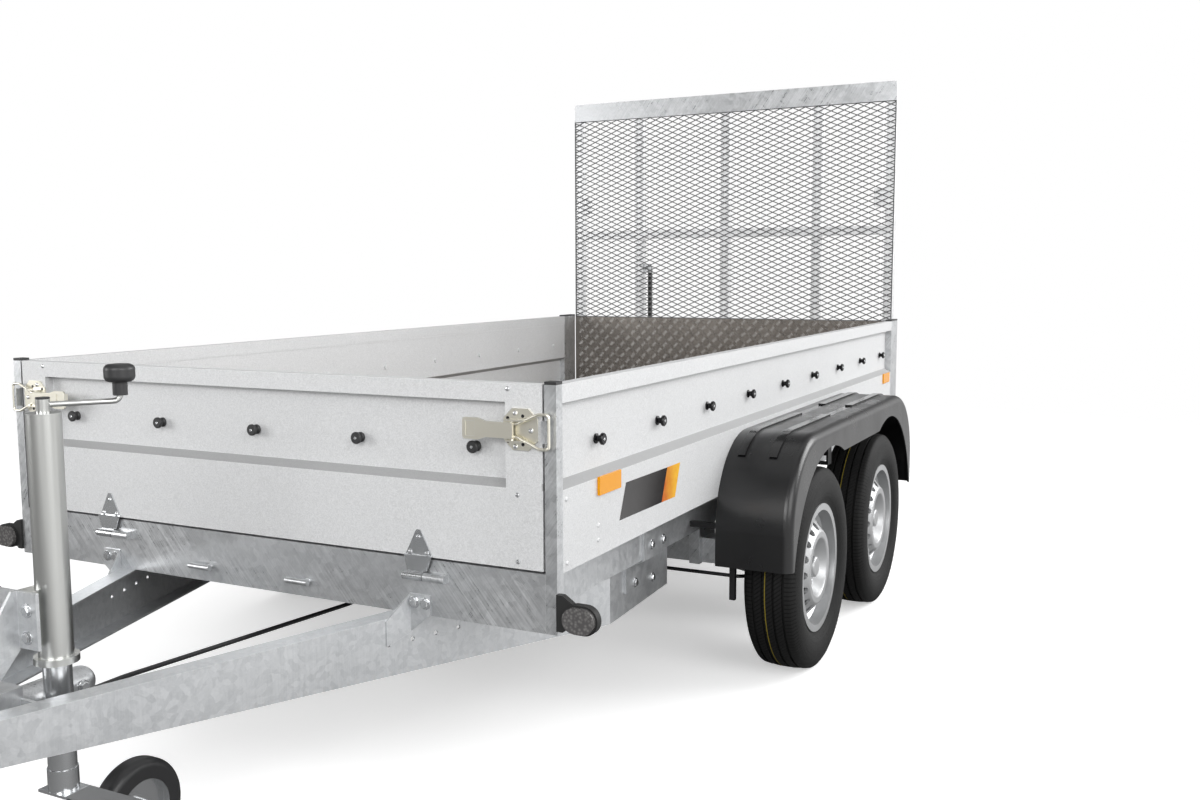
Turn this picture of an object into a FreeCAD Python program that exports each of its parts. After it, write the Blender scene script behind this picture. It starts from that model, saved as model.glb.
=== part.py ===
import FreeCAD, Part
import math
import os
import Sketcher
from FreeCAD import Placement, Rotation, Vector

os.makedirs("parts", exist_ok=True)
doc = FreeCAD.newDocument("utility_trailer")

# Sizes in millimetres and degrees. Places along the trailer are measured from the front
# face of the load box, heights from the ground and widths from the middle plane.
SIZES = {
    # load box
    "box_width": 1556, "box_length": 3056, "side_height": 375, "wall_depth": 28,
    "wall_sheet": 2.5, "rim_height": 37, "recess_depth": 24, "ledge_rise": 166,
    "ledge_slope": 15, "panel_foot": 128, "floor_thickness": 12,
    # corner posts
    "post_width": 26, "rear_post_length": 110, "post_wall": 3, "cap_height": 6,
    # frame
    "frame_bottom": 421, "frame_height": 120, "frame_sheet": 4, "frame_flange": 45,
    "rail_inset": 96, "rung_height": 60, "rung_flange": 40,
    # drawbar beams
    "beam_reach": 960, "beam_tip_half": 68, "beam_bend_place": 545, "beam_inset": 50,
    "beam_end_place": 904, "beam_tip_drop": 21, "beam_tip_height": 69,
    "beam_bend_height": 148, "beam_tail_height": 133, "beam_sheet": 4, "beam_flange": 48,
    # gussets and joggled brackets
    "gusset_width": 52, "gusset_height": 44, "gusset_side_foot": 2, "gusset_fold_foot": 40,
    "gusset_length": 60, "gusset_wing_top": 6, "gusset_wing_foot": 59, "web_hole_radius": 5,
    "web_hole_height": 364, "web_hole_pitch": 56, "web_hole_first": 52, "bracket_sheet": 6,
    "bracket_place": 624, "bracket_length": 126,
    "bracket_top": 84, "bracket_step": 26, "bracket_bottom": 91, "bracket_under": 2,
    # overrun gear
    "tube_height": 360, "tube_radius": 30, "tube_behind": 503, "tube_ahead": 230,
    "dome_round": 29, "housing_half": 44, "housing_behind": 320, "housing_ahead": 25,
    "housing_tall": 96, "cheek_plate": 6, "cheek_head": 16,
    "cheek_reach": 140, "cheek_under": 70, "yoke_depth": 6, "yoke_height": 52, "slip_gap": 0.3,
    "gaiter_radius": 47, "gaiter_neck": 38, "gaiter_length": 120,
    # coupling head
    "ball_ahead": 340, "ball_radius": 25.3, "dome_radius": 37, "sleeve_radius": 38,
    "sleeve_length": 105, "socket_skirt": 34, "handle_length": 150, "handle_width": 30,
    "handle_lift": 46, "handle_thickness": 8,
    # handbrake
    "lever_behind": 100, "lever_side": 54, "lever_width": 12, "lever_depth": 26,
    "lever_length": 330, "lever_angle": 38, "grip_length": 110, "grip_radius": 15,
    # jockey wheel
    "jockey_side": 80, "jockey_behind": 365, "jockey_radius": 30, "jockey_wall": 3.5,
    "jockey_foot": 446, "jockey_top": 890, "ring_radius": 39, "ring_height": 12,
    "leg_radius": 25, "leg_wall": 3, "leg_foot": 250, "leg_top": 640,
    "clamp_ahead": 48, "clamp_foot": 481, "clamp_height": 102, "clamp_plate": 6,
    "clamp_half": 36, "clamp_side": 99, "crank_boss": 12, "crank_rise": 27,
    "crank_arm": 128, "crank_angle": 55,
    "crank_bar": 5, "crank_bend": 12, "crank_lift": 14, "crank_end": 26, "knob_neck": 13,
    "knob_neck_tall": 24, "knob_radius": 27, "knob_tall": 32, "knob_soft": 10,
    "castor_radius": 100, "castor_width": 48, "castor_trail": 160, "castor_hub": 22,
    "castor_pin": 6, "castor_rim": 62, "fork_head_radius": 27, "fork_head_tall": 40,
    "fork_plate": 5, "fork_gap": 6, "fork_width": 40, "castor_round": 16,
    # road wheels
    "wheel_radius": 289, "front_axle_place": 1254, "rear_axle_place": 1992,
    "tyre_middle": 894, "tyre_half": 77.5, "tread_half": 60, "brow_inset": 4,
    "tyre_wall": 9, "crown_wall": 14, "rim_half": 63, "rim_edge": 182.5, "rim_lip": 4,
    "bead_seat": 168, "rim_well": 150, "rim_sheet": 4, "well_half": 18, "well_run": 12,
    "disc_place": 26, "disc_sheet": 5, "hub_face_radius": 62,
    "crest_place": 62, "crest_radius": 93, "crest_half": 9, "crest_round": 8,
    "vent_place": 52, "vent_radius": 11, "vent_circle": 118, "vent_inner": 108,
    "stud_radius": 6.5, "stud_circle": 50,
    "drum_radius": 100, "drum_length": 100, "spindle_radius": 17.5, "running_gap": 0.05,
    "cap_radius": 30, "cap_reach": 28,
    # axles
    "arm_length": 154, "axle_rise": 61, "axle_square": 70, "axle_half": 745,
    "arm_width": 38, "arm_round": 38, "arm_eye": 34, "backplate_radius": 112,
    "backplate_sheet": 5, "drum_gap": 6, "hanger_width": 30, "hanger_half": 62,
    "hanger_side": 643,
    # brake rod and cables
    "rod_height": 335, "rod_radius": 5, "rod_side": 80, "rod_turn": 225, "rod_start": 380,
    "rod_end": 985, "rod_bend": 120, "cable_radius": 5, "cable_height": 292,
    "cable_bend": 35, "cable_hook": 25, "cable_end": 94, "bar_half": 55, "bar_depth": 16,
    "cable_ahead": 55,
    # fenders
    "fender_width": 206, "fender_ahead": 374, "fender_behind": 378, "fender_foot": 358,
    "fender_top": 695, "fender_wall": 4, "fender_round": 240, "arch_radius": 350,
    "skirt_height": 608, "rib_rise": 5, "rib_width": 22,
    "rib_place": 28, "rib_pitch": 87, "rib_foot": 645, "rib_gap": 260,
    "fender_soft": 24,
    # fender stays
    "stay_square": 15, "stay_out": 18, "stay_foot": 253, "stay_lift": 22, "stay_top": 130,
    "stay_ahead": 304, "stay_flat": 6, "stay_width": 40, "stay_drop": 10,
    # headboard and its hinges
    "board_gap": 5, "end_plate": 664, "end_sheet": 3, "hinge_side": 453, "hinge_ahead": 12,
    "hinge_drop": 35, "barrel_radius": 9, "pin_radius": 4, "barrel_left": 33,
    "barrel_middle": 17, "barrel_right": 70, "barrel_slit": 2, "leaf_sheet": 3,
    "leaf_half": 34, "leaf_rise": 57, "leaf_step": 6, "leaf_waist": 22,
    "leaf_tip": 5, "lug_height": 18, "peg_radius": 6.5, "peg_length": 62, "peg_height": 456,
    "peg_ahead": 12, "peg_place": 136, "peg_pitch": 289, "peg_root": 10,
    # knobs
    "knob_head": 13, "knob_stem": 7, "knob_head_length": 8, "knob_length": 21,
    "knob_collar": 11, "knob_foot": 3, "knob_round": 2,
    "knob_height": 242, "side_knob_pitch": 327, "board_knob_pitch": 291,
    # toggle latches
    "latch_side": 662, "latch_width": 76, "latch_foot": 244, "latch_tall": 83,
    "latch_sheet": 4, "latch_corner": 20, "toggle_reach": 575, "toggle_width": 44,
    "toggle_waist": 32, "toggle_waist_place": 36, "toggle_sheet": 4, "toggle_end": 690,
    "toggle_lip": 7, "toggle_middle": 284, "hoop_radius": 3, "hoop_half": 34,
    "hoop_root": 13, "hoop_start": 686, "hoop_bend": 12, "hoop_round": 7, "hoop_reach": 768,
    "hoop_ahead": 12, "cheek_length": 42, "cheek_sheet": 3, "cheek_half": 19,
    "catch_radius": 4, "catch_side": 757, "catch_half": 22, "catch_length": 16,
    # lamps
    "marker_foot": 431, "marker_tall": 74, "marker_arm": 14, "marker_neck": 36,
    "marker_width": 91, "marker_body_tall": 59, "marker_round": 29, "marker_back": 10,
    "marker_depth": 18, "lens_inset": 4, "lens_depth": 9, "lens_round": 25,
    "arm_depth": 14,
    "reflector_length": 105, "reflector_tall": 39, "reflector_depth": 6,
    "reflector_height": 129, "reflector_front": 179, "reflector_back": 256,
    "lamp_inner": 560, "lamp_width": 180, "lamp_tall": 84, "lamp_depth": 22,
    "lamp_lift": 8, "plate_half": 250, "plate_tall": 100, "plate_sheet": 4,
    # tailgate
    "gate_gap": 6, "gate_depth": 40, "gate_inset": 27, "gate_bar": 38, "gate_bottom": 527,
    "gate_height": 1380.5, "gate_upright": 400, "gate_cross_height": 768,
    "gate_cap_tall": 79, "gate_cap_round": 14,
    "gate_clad_tall": 383, "gate_skin": 4, "gate_pin_drop": 17,
    "gate_pin_radius": 6, "gate_eye_radius": 12, "gate_ear_side": 400, "gate_ear_half": 6,
    "gate_lug_gap": 6, "gate_lug_half": 4, "mesh_strand": 4, "mesh_long": 56,
    "mesh_short": 24,
}

sheet = doc.addObject("Spreadsheet::Sheet", "sizes")
for row, (name, number) in enumerate(SIZES.items(), 1):
    sheet.set("A%d" % row, name)
    sheet.set("B%d" % row, str(number))
    sheet.setAlias("B%d" % row, name)
doc.recompute()


class Size:
    """A number together with the sheet expression that gives it."""

    def __init__(self, text, value):
        self.text = text
        self.value = value

    def joined(self, sign, other, value):
        return Size("(%s %s %s)" % (self.text, sign, sized(other).text), value)

    def __add__(self, other):
        return self.joined("+", other, self.value + sized(other).value)

    def __sub__(self, other):
        return self.joined("-", other, self.value - sized(other).value)

    def __mul__(self, other):
        return self.joined("*", other, self.value * sized(other).value)

    def __truediv__(self, other):
        return self.joined("/", other, self.value / sized(other).value)

    def __neg__(self):
        return Size("(-1 * %s)" % self.text, -self.value)


def sized(thing):
    """The thing itself, or a plain number as a size."""
    if isinstance(thing, Size):
        return thing
    return Size(repr(thing), thing)


class Sheet:
    """Gives every named value of the sheet as a size."""

    def __getattr__(self, name):
        return Size("sizes." + name, float(sheet.get(name)))


s = Sheet()
ZERO = Size("0", 0.0)

# Places that several sub-parts share
half_width = s.box_width / 2
rail_half = half_width - s.rail_inset
frame_top = s.frame_bottom + s.frame_height
floor_bottom = frame_top + s.wall_sheet
box_top = frame_top + s.side_height
ledge_foot = frame_top + s.ledge_rise
ledge_head = ledge_foot + s.ledge_slope
rim_foot = box_top - s.rim_height
post_inner = half_width - s.post_width
rear_post_front = s.box_length - s.rear_post_length
gate_front = s.box_length + s.gate_gap
rear_end = gate_front + s.gate_depth
ball_place = s.beam_reach + s.ball_ahead
nose = ball_place + s.dome_radius
middle = (rear_end - nose) / 2
gate_pin_place = gate_front + s.gate_depth / 2
gate_pin_height = s.gate_bottom - s.gate_pin_drop
gate_half = half_width - s.gate_inset
hinge_height = frame_top - s.hinge_drop
beam_bend_half = rail_half - s.beam_inset
housing_front = s.beam_reach + s.housing_ahead
housing_rear = s.beam_reach - s.housing_behind
tube_front = s.beam_reach + s.tube_ahead
tube_rear = s.beam_reach - s.tube_behind
lever_place = s.beam_reach - s.lever_behind
jockey_place = s.beam_reach - s.jockey_behind
clamp_place = jockey_place + s.clamp_ahead
backplate_side = (s.tyre_middle + s.disc_place - s.drum_length - s.drum_gap
                  - s.backplate_sheet)

PLANES = {"XY": "XY_Plane", "XZ": "XZ_Plane", "YZ": "YZ_Plane"}
NORMALS = {"XY": "z", "XZ": "y", "YZ": "x"}
TURNS = {"x": Rotation(Vector(0, 1, 0), 90), "y": Rotation(Vector(1, 0, 0), -90),
         "z": Rotation()}
SUBPARTS = []


def bind(thing, path, size):
    thing.setExpression(path, sized(size).text)


def move(thing, place):
    for axis, size in zip("xyz", place):
        bind(thing, "Placement.Base." + axis, size)


def direction(start, end):
    run = math.dist(start, end)
    return (end[0] - start[0]) / run, (end[1] - start[1]) / run


def corner_arc(before, corner, after, radius):
    """Tangent points, centre and turning sense of a rounded corner."""
    back = direction(corner, before)
    ahead = direction(corner, after)
    half = math.acos(max(-1.0, min(1.0, back[0] * ahead[0] + back[1] * ahead[1]))) / 2
    run = radius / math.tan(half)
    reach = radius / math.sin(half)
    middle_way = direction((0.0, 0.0), (back[0] + ahead[0], back[1] + ahead[1]))
    entry = (corner[0] + back[0] * run, corner[1] + back[1] * run)
    leaving = (corner[0] + ahead[0] * run, corner[1] + ahead[1] * run)
    centre = (corner[0] + middle_way[0] * reach, corner[1] + middle_way[1] * reach)
    left_turn = back[0] * ahead[1] - back[1] * ahead[0] < 0
    return entry, leaving, centre, left_turn


def angle_from(centre, point):
    return math.atan2(point[1] - centre[1], point[0] - centre[0])


def draw(sketch, corners, closed=True):
    """Draw lines through corners (u, v) or (u, v, radius), where a radius rounds the corner."""
    count = len(corners)
    spots = [(sized(c[0]).value, sized(c[1]).value) for c in corners]
    arcs = {}
    for i, corner in enumerate(corners):
        if len(corner) == 3:
            arcs[i] = corner_arc(spots[i - 1], spots[i], spots[(i + 1) % count],
                                 sized(corner[2]).value)
    lines = count if closed else count - 1
    first = sketch.GeometryCount
    shapes = []
    for i in range(lines):
        after = (i + 1) % count
        start = arcs[i][1] if i in arcs else spots[i]
        end = arcs[after][0] if after in arcs else spots[after]
        shapes.append(Part.LineSegment(Vector(start[0], start[1], 0), Vector(end[0], end[1], 0)))
    arc_at = {}
    point_at = {}
    for i, (entry, leaving, centre, left_turn) in arcs.items():
        radius = sized(corners[i][2]).value
        begin, finish = (entry, leaving) if left_turn else (leaving, entry)
        circle = Part.Circle(Vector(centre[0], centre[1], 0), Vector(0, 0, 1), radius)
        arc_at[i] = first + len(shapes)
        shapes.append(Part.ArcOfCircle(circle, angle_from(centre, begin),
                                       angle_from(centre, finish)))
        point_at[i] = first + len(shapes)
        shapes.append(Part.Point(Vector(spots[i][0], spots[i][1], 0)))
    sketch.addGeometry(shapes, False)
    for index in point_at.values():
        sketch.setConstruction(index, True)
    constraints = []
    bound = []
    for i in range(count):
        line_in = first + (i - 1) % lines
        line_out = first + i
        if i in arcs:
            entry_end, leaving_end = (1, 2) if arcs[i][3] else (2, 1)
            constraints.append(Sketcher.Constraint("Tangent", line_in, 2, arc_at[i], entry_end))
            constraints.append(Sketcher.Constraint("Tangent", line_out, 1, arc_at[i],
                                                   leaving_end))
            constraints.append(Sketcher.Constraint("PointOnObject", point_at[i], 1, line_in))
            constraints.append(Sketcher.Constraint("PointOnObject", point_at[i], 1, line_out))
            bound.append((len(constraints), corners[i][2]))
            constraints.append(Sketcher.Constraint("Radius", arc_at[i],
                                                   sized(corners[i][2]).value))
            held = (point_at[i], 1)
        elif not closed and i == count - 1:
            held = (line_in, 2)
        else:
            if closed or i > 0:
                constraints.append(Sketcher.Constraint("Coincident", line_in, 2, line_out, 1))
            held = (line_out, 1)
        for kind, size, number in (("DistanceX", corners[i][0], spots[i][0]),
                                   ("DistanceY", corners[i][1], spots[i][1])):
            bound.append((len(constraints), size))
            constraints.append(Sketcher.Constraint(kind, -1, 1, held[0], held[1], number))
    numbers = sketch.addConstraint(constraints)
    for index, size in bound:
        bind(sketch, "Constraints[%d]" % numbers[index], size)


def new_sketch(body, plane, name, lift=None):
    """A sketch on one of the body's own planes, lifted along the plane's axis."""
    sketch = body.newObject("Sketcher::SketchObject", name)
    support = [f for f in body.Origin.OriginFeatures if f.Role == PLANES[plane]][0]
    sketch.AttachmentSupport = [(support, "")]
    sketch.MapMode = "FlatFace"
    if lift is not None:
        bind(sketch, "AttachmentOffset.Base.z", -lift if plane == "XZ" else lift)
    return sketch


def prism(name, plane, corners, start, length, holes=()):
    """An outline on a plane, padded from start over length along the plane's axis."""
    body = doc.addObject("PartDesign::Body", name)
    sketch = new_sketch(body, plane, name + "_outline")
    draw(sketch, corners)
    for hole in holes:
        draw(sketch, hole)
    pad = body.newObject("PartDesign::Pad", name + "_pad")
    pad.Profile = sketch
    pad.Reversed = plane == "XZ"
    bind(pad, "Length", length)
    bind(body, "Placement.Base." + NORMALS[plane], start)
    return body


def turned(name, axis, corners, place=(ZERO, ZERO, ZERO)):
    """An outline of (along, radius) corners turned round an axis."""
    body = doc.addObject("PartDesign::Body", name)
    plane = {"x": "XY", "y": "YZ", "z": "XZ"}[axis]
    sketch = new_sketch(body, plane, name + "_outline")
    if axis == "z":
        corners = [(corner[1], corner[0]) + tuple(corner[2:]) for corner in corners]
    draw(sketch, corners)
    round_body = body.newObject("PartDesign::Revolution", name + "_turned")
    round_body.Profile = sketch
    round_body.ReferenceAxis = (sketch, ["V_Axis" if axis == "z" else "H_Axis"])
    round_body.Angle = 360
    move(body, place)
    return body


def pipe(name, plane, level, corners, radius, first="u"):
    """A round bar along corners (u, v, radius) on a plane; the first run follows u or v."""
    body = doc.addObject("PartDesign::Body", name)
    spine = new_sketch(body, plane, name + "_route", level)
    draw(spine, corners, closed=False)
    u, v = corners[0][0], corners[0][1]
    facing, across, up, lift = {
        ("XY", "u"): ("YZ", v, level, u), ("XY", "v"): ("XZ", u, level, v),
        ("YZ", "u"): ("XZ", level, v, u), ("YZ", "v"): ("XY", level, u, v),
        ("XZ", "u"): ("YZ", level, v, u), ("XZ", "v"): ("XY", u, level, v),
    }[(plane, first)]
    ring = new_sketch(body, facing, name + "_ring", lift)
    ring.addGeometry(Part.Circle(Vector(sized(across).value, sized(up).value, 0),
                                 Vector(0, 0, 1), sized(radius).value), False)
    for kind, size, held in (("Radius", radius, (0,)), ("DistanceX", across, (-1, 1, 0, 3)),
                             ("DistanceY", up, (-1, 1, 0, 3))):
        number = ring.addConstraint(Sketcher.Constraint(kind, *held, sized(size).value))
        bind(ring, "Constraints[%d]" % number, size)
    swept = body.newObject("PartDesign::AdditivePipe", name + "_swept")
    swept.Profile = ring
    swept.Spine = (spine, [""])
    return body


def block(name, low, size):
    box = doc.addObject("Part::Box", name)
    move(box, low)
    for path, length in zip(("Length", "Width", "Height"), size):
        bind(box, path, length)
    return box


def rod(name, axis, start, radius, length):
    bar = doc.addObject("Part::Cylinder", name)
    bar.Placement = Placement(Vector(), TURNS[axis])
    move(bar, start)
    bind(bar, "Radius", radius)
    bind(bar, "Height", length)
    return bar


def ball(name, centre, radius):
    sphere = doc.addObject("Part::Sphere", name)
    move(sphere, centre)
    bind(sphere, "Radius", radius)
    return sphere


def fused(name, pieces):
    if len(pieces) == 1:
        return pieces[0]
    whole = doc.addObject("Part::MultiFuse", name)
    whole.Shapes = pieces
    return whole


def grouped(name, pieces):
    whole = doc.addObject("Part::Compound", name)
    whole.Links = pieces
    return whole


def shared(name, pieces):
    whole = doc.addObject("Part::MultiCommon", name)
    whole.Shapes = pieces
    return whole


def cut(name, base, tools):
    whole = doc.addObject("Part::Cut", name)
    whole.Base = base
    whole.Tool = fused(name + "_tools", tools)
    return whole


def mirrored(name, source):
    copy = doc.addObject("Part::Mirroring", name)
    copy.Source = source
    copy.Normal = Vector(1, 0, 0)
    return copy


def both_sides(name, piece):
    return [piece, mirrored(name, piece)]


def subpart(name, pieces, apart=False):
    """One sub-part of the trailer, set into the common frame."""
    whole = grouped(name, pieces) if apart or len(pieces) == 1 else fused(name, pieces)
    whole.Label = name
    bind(whole, "Placement.Base.y", -middle)
    SUBPARTS.append(whole)
    return whole


def opposite(name, source):
    """The same sub-part on the other side."""
    copy = mirrored(name, source)
    copy.Label = name
    SUBPARTS.append(copy)
    return copy


# Frame
def channel(low, high, back, edge):
    """Corners of a C-section of the frame: height low to high, web at back, lips to edge."""
    step = s.frame_sheet if edge.value > back.value else -s.frame_sheet
    return [(back, low), (edge, low), (edge, low + s.frame_sheet),
            (back + step, low + s.frame_sheet), (back + step, high - s.frame_sheet),
            (edge, high - s.frame_sheet), (edge, high), (back, high)]


def side_rails():
    outline = channel(s.frame_bottom, frame_top, rail_half, rail_half - s.frame_flange)
    rail = prism("rail_section", "XZ", outline, s.frame_flange,
                 s.box_length - s.frame_flange * 2)
    left = subpart("side_rail_left", [rail])
    opposite("side_rail_right", left)


def front_crossmember():
    outline = channel(s.frame_bottom, frame_top, ZERO, s.frame_flange)
    bar = prism("front_section", "YZ", outline, -post_inner, post_inner * 2)
    pieces = [bar]
    for side, start in (("left", s.hinge_side), ("right", -s.hinge_side)):
        barrel_start = start + s.barrel_middle + s.barrel_slit
        barrel_length = s.barrel_right - s.barrel_middle - s.barrel_slit
        pieces.append(rod("fixed_barrel_" + side, "x",
                          (barrel_start, -s.hinge_ahead, hinge_height), s.barrel_radius,
                          barrel_length))
        pieces.append(block("hinge_lug_" + side,
                            (barrel_start, -s.hinge_ahead, hinge_height - s.lug_height / 2),
                            (barrel_length, s.hinge_ahead, s.lug_height)))
        pieces.append(rod("hinge_pin_" + side, "x",
                          (start - s.barrel_left, -s.hinge_ahead, hinge_height), s.pin_radius,
                          s.barrel_left + s.barrel_right))
    for number in range(2):
        right_end = s.peg_pitch * number - s.peg_place + s.peg_root
        pieces.append(rod("peg_%d" % number, "x",
                          (right_end - s.peg_length, -s.peg_ahead, s.peg_height),
                          s.peg_radius, s.peg_length))
        pieces.append(rod("peg_root_%d" % number, "y",
                          (right_end - s.peg_root, -s.peg_ahead, s.peg_height),
                          s.peg_radius, s.peg_ahead))
    subpart("front_crossmember", pieces)


def rear_crossmember():
    outline = channel(s.frame_bottom, frame_top, s.box_length,
                      s.box_length - s.frame_flange)
    pieces = [prism("rear_section", "YZ", outline, -post_inner, post_inner * 2)]
    for side, sign in (("left", 1), ("right", -1)):
        centre = s.gate_ear_side * sign
        inner = s.gate_ear_half + s.gate_lug_gap
        for where, start in (("in", centre - inner - s.gate_lug_half * 2),
                             ("out", centre + inner)):
            name = "gate_lug_%s_%s" % (side, where)
            pieces.append(rod(name, "x", (start, gate_pin_place, gate_pin_height),
                              s.gate_eye_radius, s.gate_lug_half * 2))
            pieces.append(block(name + "_root",
                                (start, s.box_length, gate_pin_height - s.gate_eye_radius),
                                (s.gate_lug_half * 2, gate_pin_place - s.box_length,
                                 s.gate_eye_radius * 2)))
        pieces.append(rod("gate_pin_" + side, "x",
                          (centre - inner - s.gate_lug_half * 2, gate_pin_place,
                           gate_pin_height), s.gate_pin_radius,
                          (inner + s.gate_lug_half * 2) * 2))
    subpart("rear_crossmember", pieces)


def floor_rungs():
    pieces = []
    rung_half = rail_half - s.frame_flange
    for number in range(1, 6):
        place = s.box_length * number / 6
        low = floor_bottom - s.rung_height
        outline = [(place, low), (place + s.rung_flange, low),
                   (place + s.rung_flange, low + s.frame_sheet),
                   (place + s.frame_sheet, low + s.frame_sheet),
                   (place + s.frame_sheet, floor_bottom - s.frame_sheet),
                   (place + s.rung_flange, floor_bottom - s.frame_sheet),
                   (place + s.rung_flange, floor_bottom), (place, floor_bottom)]
        pieces.append(prism("rung_%d" % number, "YZ", outline, -rung_half, rung_half * 2))
    subpart("floor_rungs", pieces, apart=True)


def load_floor():
    inner = half_width - s.wall_sheet
    start = s.wall_depth + s.board_gap
    main = block("floor_main", (-inner, start, floor_bottom),
                 (inner * 2, rear_post_front - start, s.floor_thickness))
    tongue = block("floor_tongue", (-post_inner, rear_post_front, floor_bottom),
                   (post_inner * 2, s.rear_post_length, s.floor_thickness))
    subpart("load_floor", [main, tongue])


# Load box
def wall_outline(outer, sign, foot, foot_run):
    """Corners of the folded wall, from its outer plane inwards."""
    def inward(depth):
        return outer - depth * sign
    skin = s.wall_sheet
    corners = [(inward(s.wall_depth), box_top), (inward(ZERO), box_top),
               (inward(ZERO), rim_foot), (inward(s.recess_depth), rim_foot),
               (inward(s.recess_depth), ledge_head), (inward(ZERO), ledge_foot),
               (inward(ZERO), foot), (inward(foot_run), foot), (inward(foot_run), foot + skin),
               (inward(skin), foot + skin), (inward(skin), ledge_foot - skin / 2),
               (inward(s.recess_depth + skin), ledge_head - skin / 2),
               (inward(s.recess_depth + skin), rim_foot), (inward(s.wall_depth), rim_foot)]
    hollow = [(inward(skin), box_top - skin), (inward(s.wall_depth - skin), box_top - skin),
              (inward(s.wall_depth - skin), rim_foot + skin), (inward(skin), rim_foot + skin)]
    return corners, hollow


def side_panels():
    corners, hollow = wall_outline(half_width, 1, frame_top, s.panel_foot)
    panel = prism("side_wall", "XZ", corners, s.post_width, rear_post_front - s.post_width,
                  [hollow])
    left = subpart("side_panel_left", [panel])
    opposite("side_panel_right", left)


def corner_posts():
    pieces = []
    for where, start, depth in (("front", ZERO, s.post_width),
                                ("rear", rear_post_front, s.rear_post_length)):
        shell = block(where + "_post_shell", (post_inner, start, s.frame_bottom),
                      (s.post_width, depth, box_top - s.frame_bottom))
        bore = block(where + "_post_bore",
                     (post_inner + s.post_wall, start + s.post_wall, s.frame_bottom),
                     (s.post_width - s.post_wall * 2, depth - s.post_wall * 2,
                      box_top - s.frame_bottom))
        post = cut(where + "_post", shell, [bore])
        cap = block(where + "_post_cap", (post_inner, start, box_top),
                    (s.post_width, depth, s.cap_height))
        column = fused(where + "_column", [post, cap])
        if where == "front":
            catch = block("catch_lug", (s.catch_side - s.catch_radius, -s.catch_length,
                                        frame_top + s.toggle_middle - s.catch_half),
                          (s.catch_radius * 2, s.catch_length, s.catch_half * 2))
            column = fused("front_column_catch", [column, catch])
        pieces += both_sides(where + "_column_right", column)
    subpart("corner_posts", pieces, apart=True)


def knob(name, axis, place, sign):
    """A spool-shaped tying knob standing out of a recess."""
    reach = s.knob_length
    collar = reach - s.knob_head_length
    outline = [(ZERO, ZERO), (ZERO, s.knob_collar), (s.knob_foot, s.knob_collar),
               (s.knob_foot * 2, s.knob_stem), (collar, s.knob_stem),
               (collar, s.knob_head - s.knob_round), (collar + s.knob_round, s.knob_head),
               (reach - s.knob_round, s.knob_head), (reach, s.knob_head - s.knob_round),
               (reach, ZERO)]
    if sign < 0:
        outline = [(-corner[0], *corner[1:]) for corner in outline]
    return turned(name, axis, outline, place)


def tie_knobs():
    pieces = []
    for number in range(-4, 5):
        place = (half_width - s.recess_depth, s.box_length / 2 + s.side_knob_pitch * number,
                 frame_top + s.knob_height)
        pieces += both_sides("tie_knob_right_%d" % (number + 4),
                             knob("tie_knob_%d" % (number + 4), "x", place, 1))
    subpart("tie_knobs", pieces, apart=True)


# Headboard
def headboard():
    board_half = post_inner - s.board_gap
    foot = frame_top + s.board_gap
    corners, hollow = wall_outline(ZERO, -1, foot, s.wall_depth)
    pieces = [prism("board_wall", "YZ", corners, -board_half, board_half * 2, [hollow])]
    for side, sign in (("left", 1), ("right", -1)):
        low = s.end_plate if sign > 0 else -board_half
        pieces.append(block("end_face_" + side, (low, ZERO, foot),
                            (board_half - s.end_plate, s.end_sheet, rim_foot - foot)))
        edge = board_half - s.end_sheet if sign > 0 else -board_half
        pieces.append(block("end_cheek_" + side, (edge, ZERO, foot),
                            (s.end_sheet, s.wall_depth, box_top - foot)))
        lip = s.end_plate if sign > 0 else -(s.end_plate + s.end_sheet)
        pieces.append(block("end_lip_" + side, (lip, ZERO, ledge_foot),
                            (s.end_sheet, s.recess_depth, rim_foot - ledge_foot)))
    subpart("headboard", pieces)


def headboard_hinges():
    """Kite-shaped leaves, stepped forward over the crossmember and rolled round the pin."""
    pieces = []
    foot = frame_top + s.board_gap
    clear_height = hinge_height + s.barrel_radius + s.barrel_slit
    for side, centre in (("left", s.hinge_side), ("right", -s.hinge_side)):
        name = "leaf_" + side
        kite = [(centre - s.leaf_half, foot), (centre + s.leaf_half, foot),
                (centre + s.leaf_tip, foot + s.leaf_rise, s.leaf_tip),
                (centre - s.leaf_tip, foot + s.leaf_rise, s.leaf_tip)]
        plate = prism(name, "XZ", kite, -s.leaf_sheet, s.leaf_sheet)
        front = -(s.leaf_step + s.leaf_sheet)
        step = block(name + "_step", (centre - s.leaf_half, front, foot),
                     (s.leaf_half * 2, s.leaf_step + s.leaf_sheet, s.leaf_sheet))
        tongue = prism(name + "_tongue", "XZ",
                       [(centre - s.leaf_waist, hinge_height),
                        (centre + s.barrel_middle, hinge_height),
                        (centre + s.barrel_middle, clear_height),
                        (centre + s.leaf_waist, clear_height),
                        (centre + s.leaf_half, foot), (centre + s.leaf_half, foot + s.leaf_sheet),
                        (centre - s.leaf_half, foot + s.leaf_sheet),
                        (centre - s.leaf_half, foot)], front, s.leaf_sheet)
        barrel = rod(name + "_barrel", "x",
                     (centre - s.barrel_left, -s.hinge_ahead, hinge_height),
                     s.barrel_radius, s.barrel_left + s.barrel_middle)
        bore = rod(name + "_bore", "x",
                   (centre - s.barrel_left, -s.hinge_ahead, hinge_height),
                   s.pin_radius + s.running_gap, s.barrel_left + s.barrel_middle)
        pieces.append(cut(name + "_whole", fused(name + "_solid", [plate, step, tongue, barrel]),
                          [bore]))
    subpart("headboard_hinges", pieces, apart=True)


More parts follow.
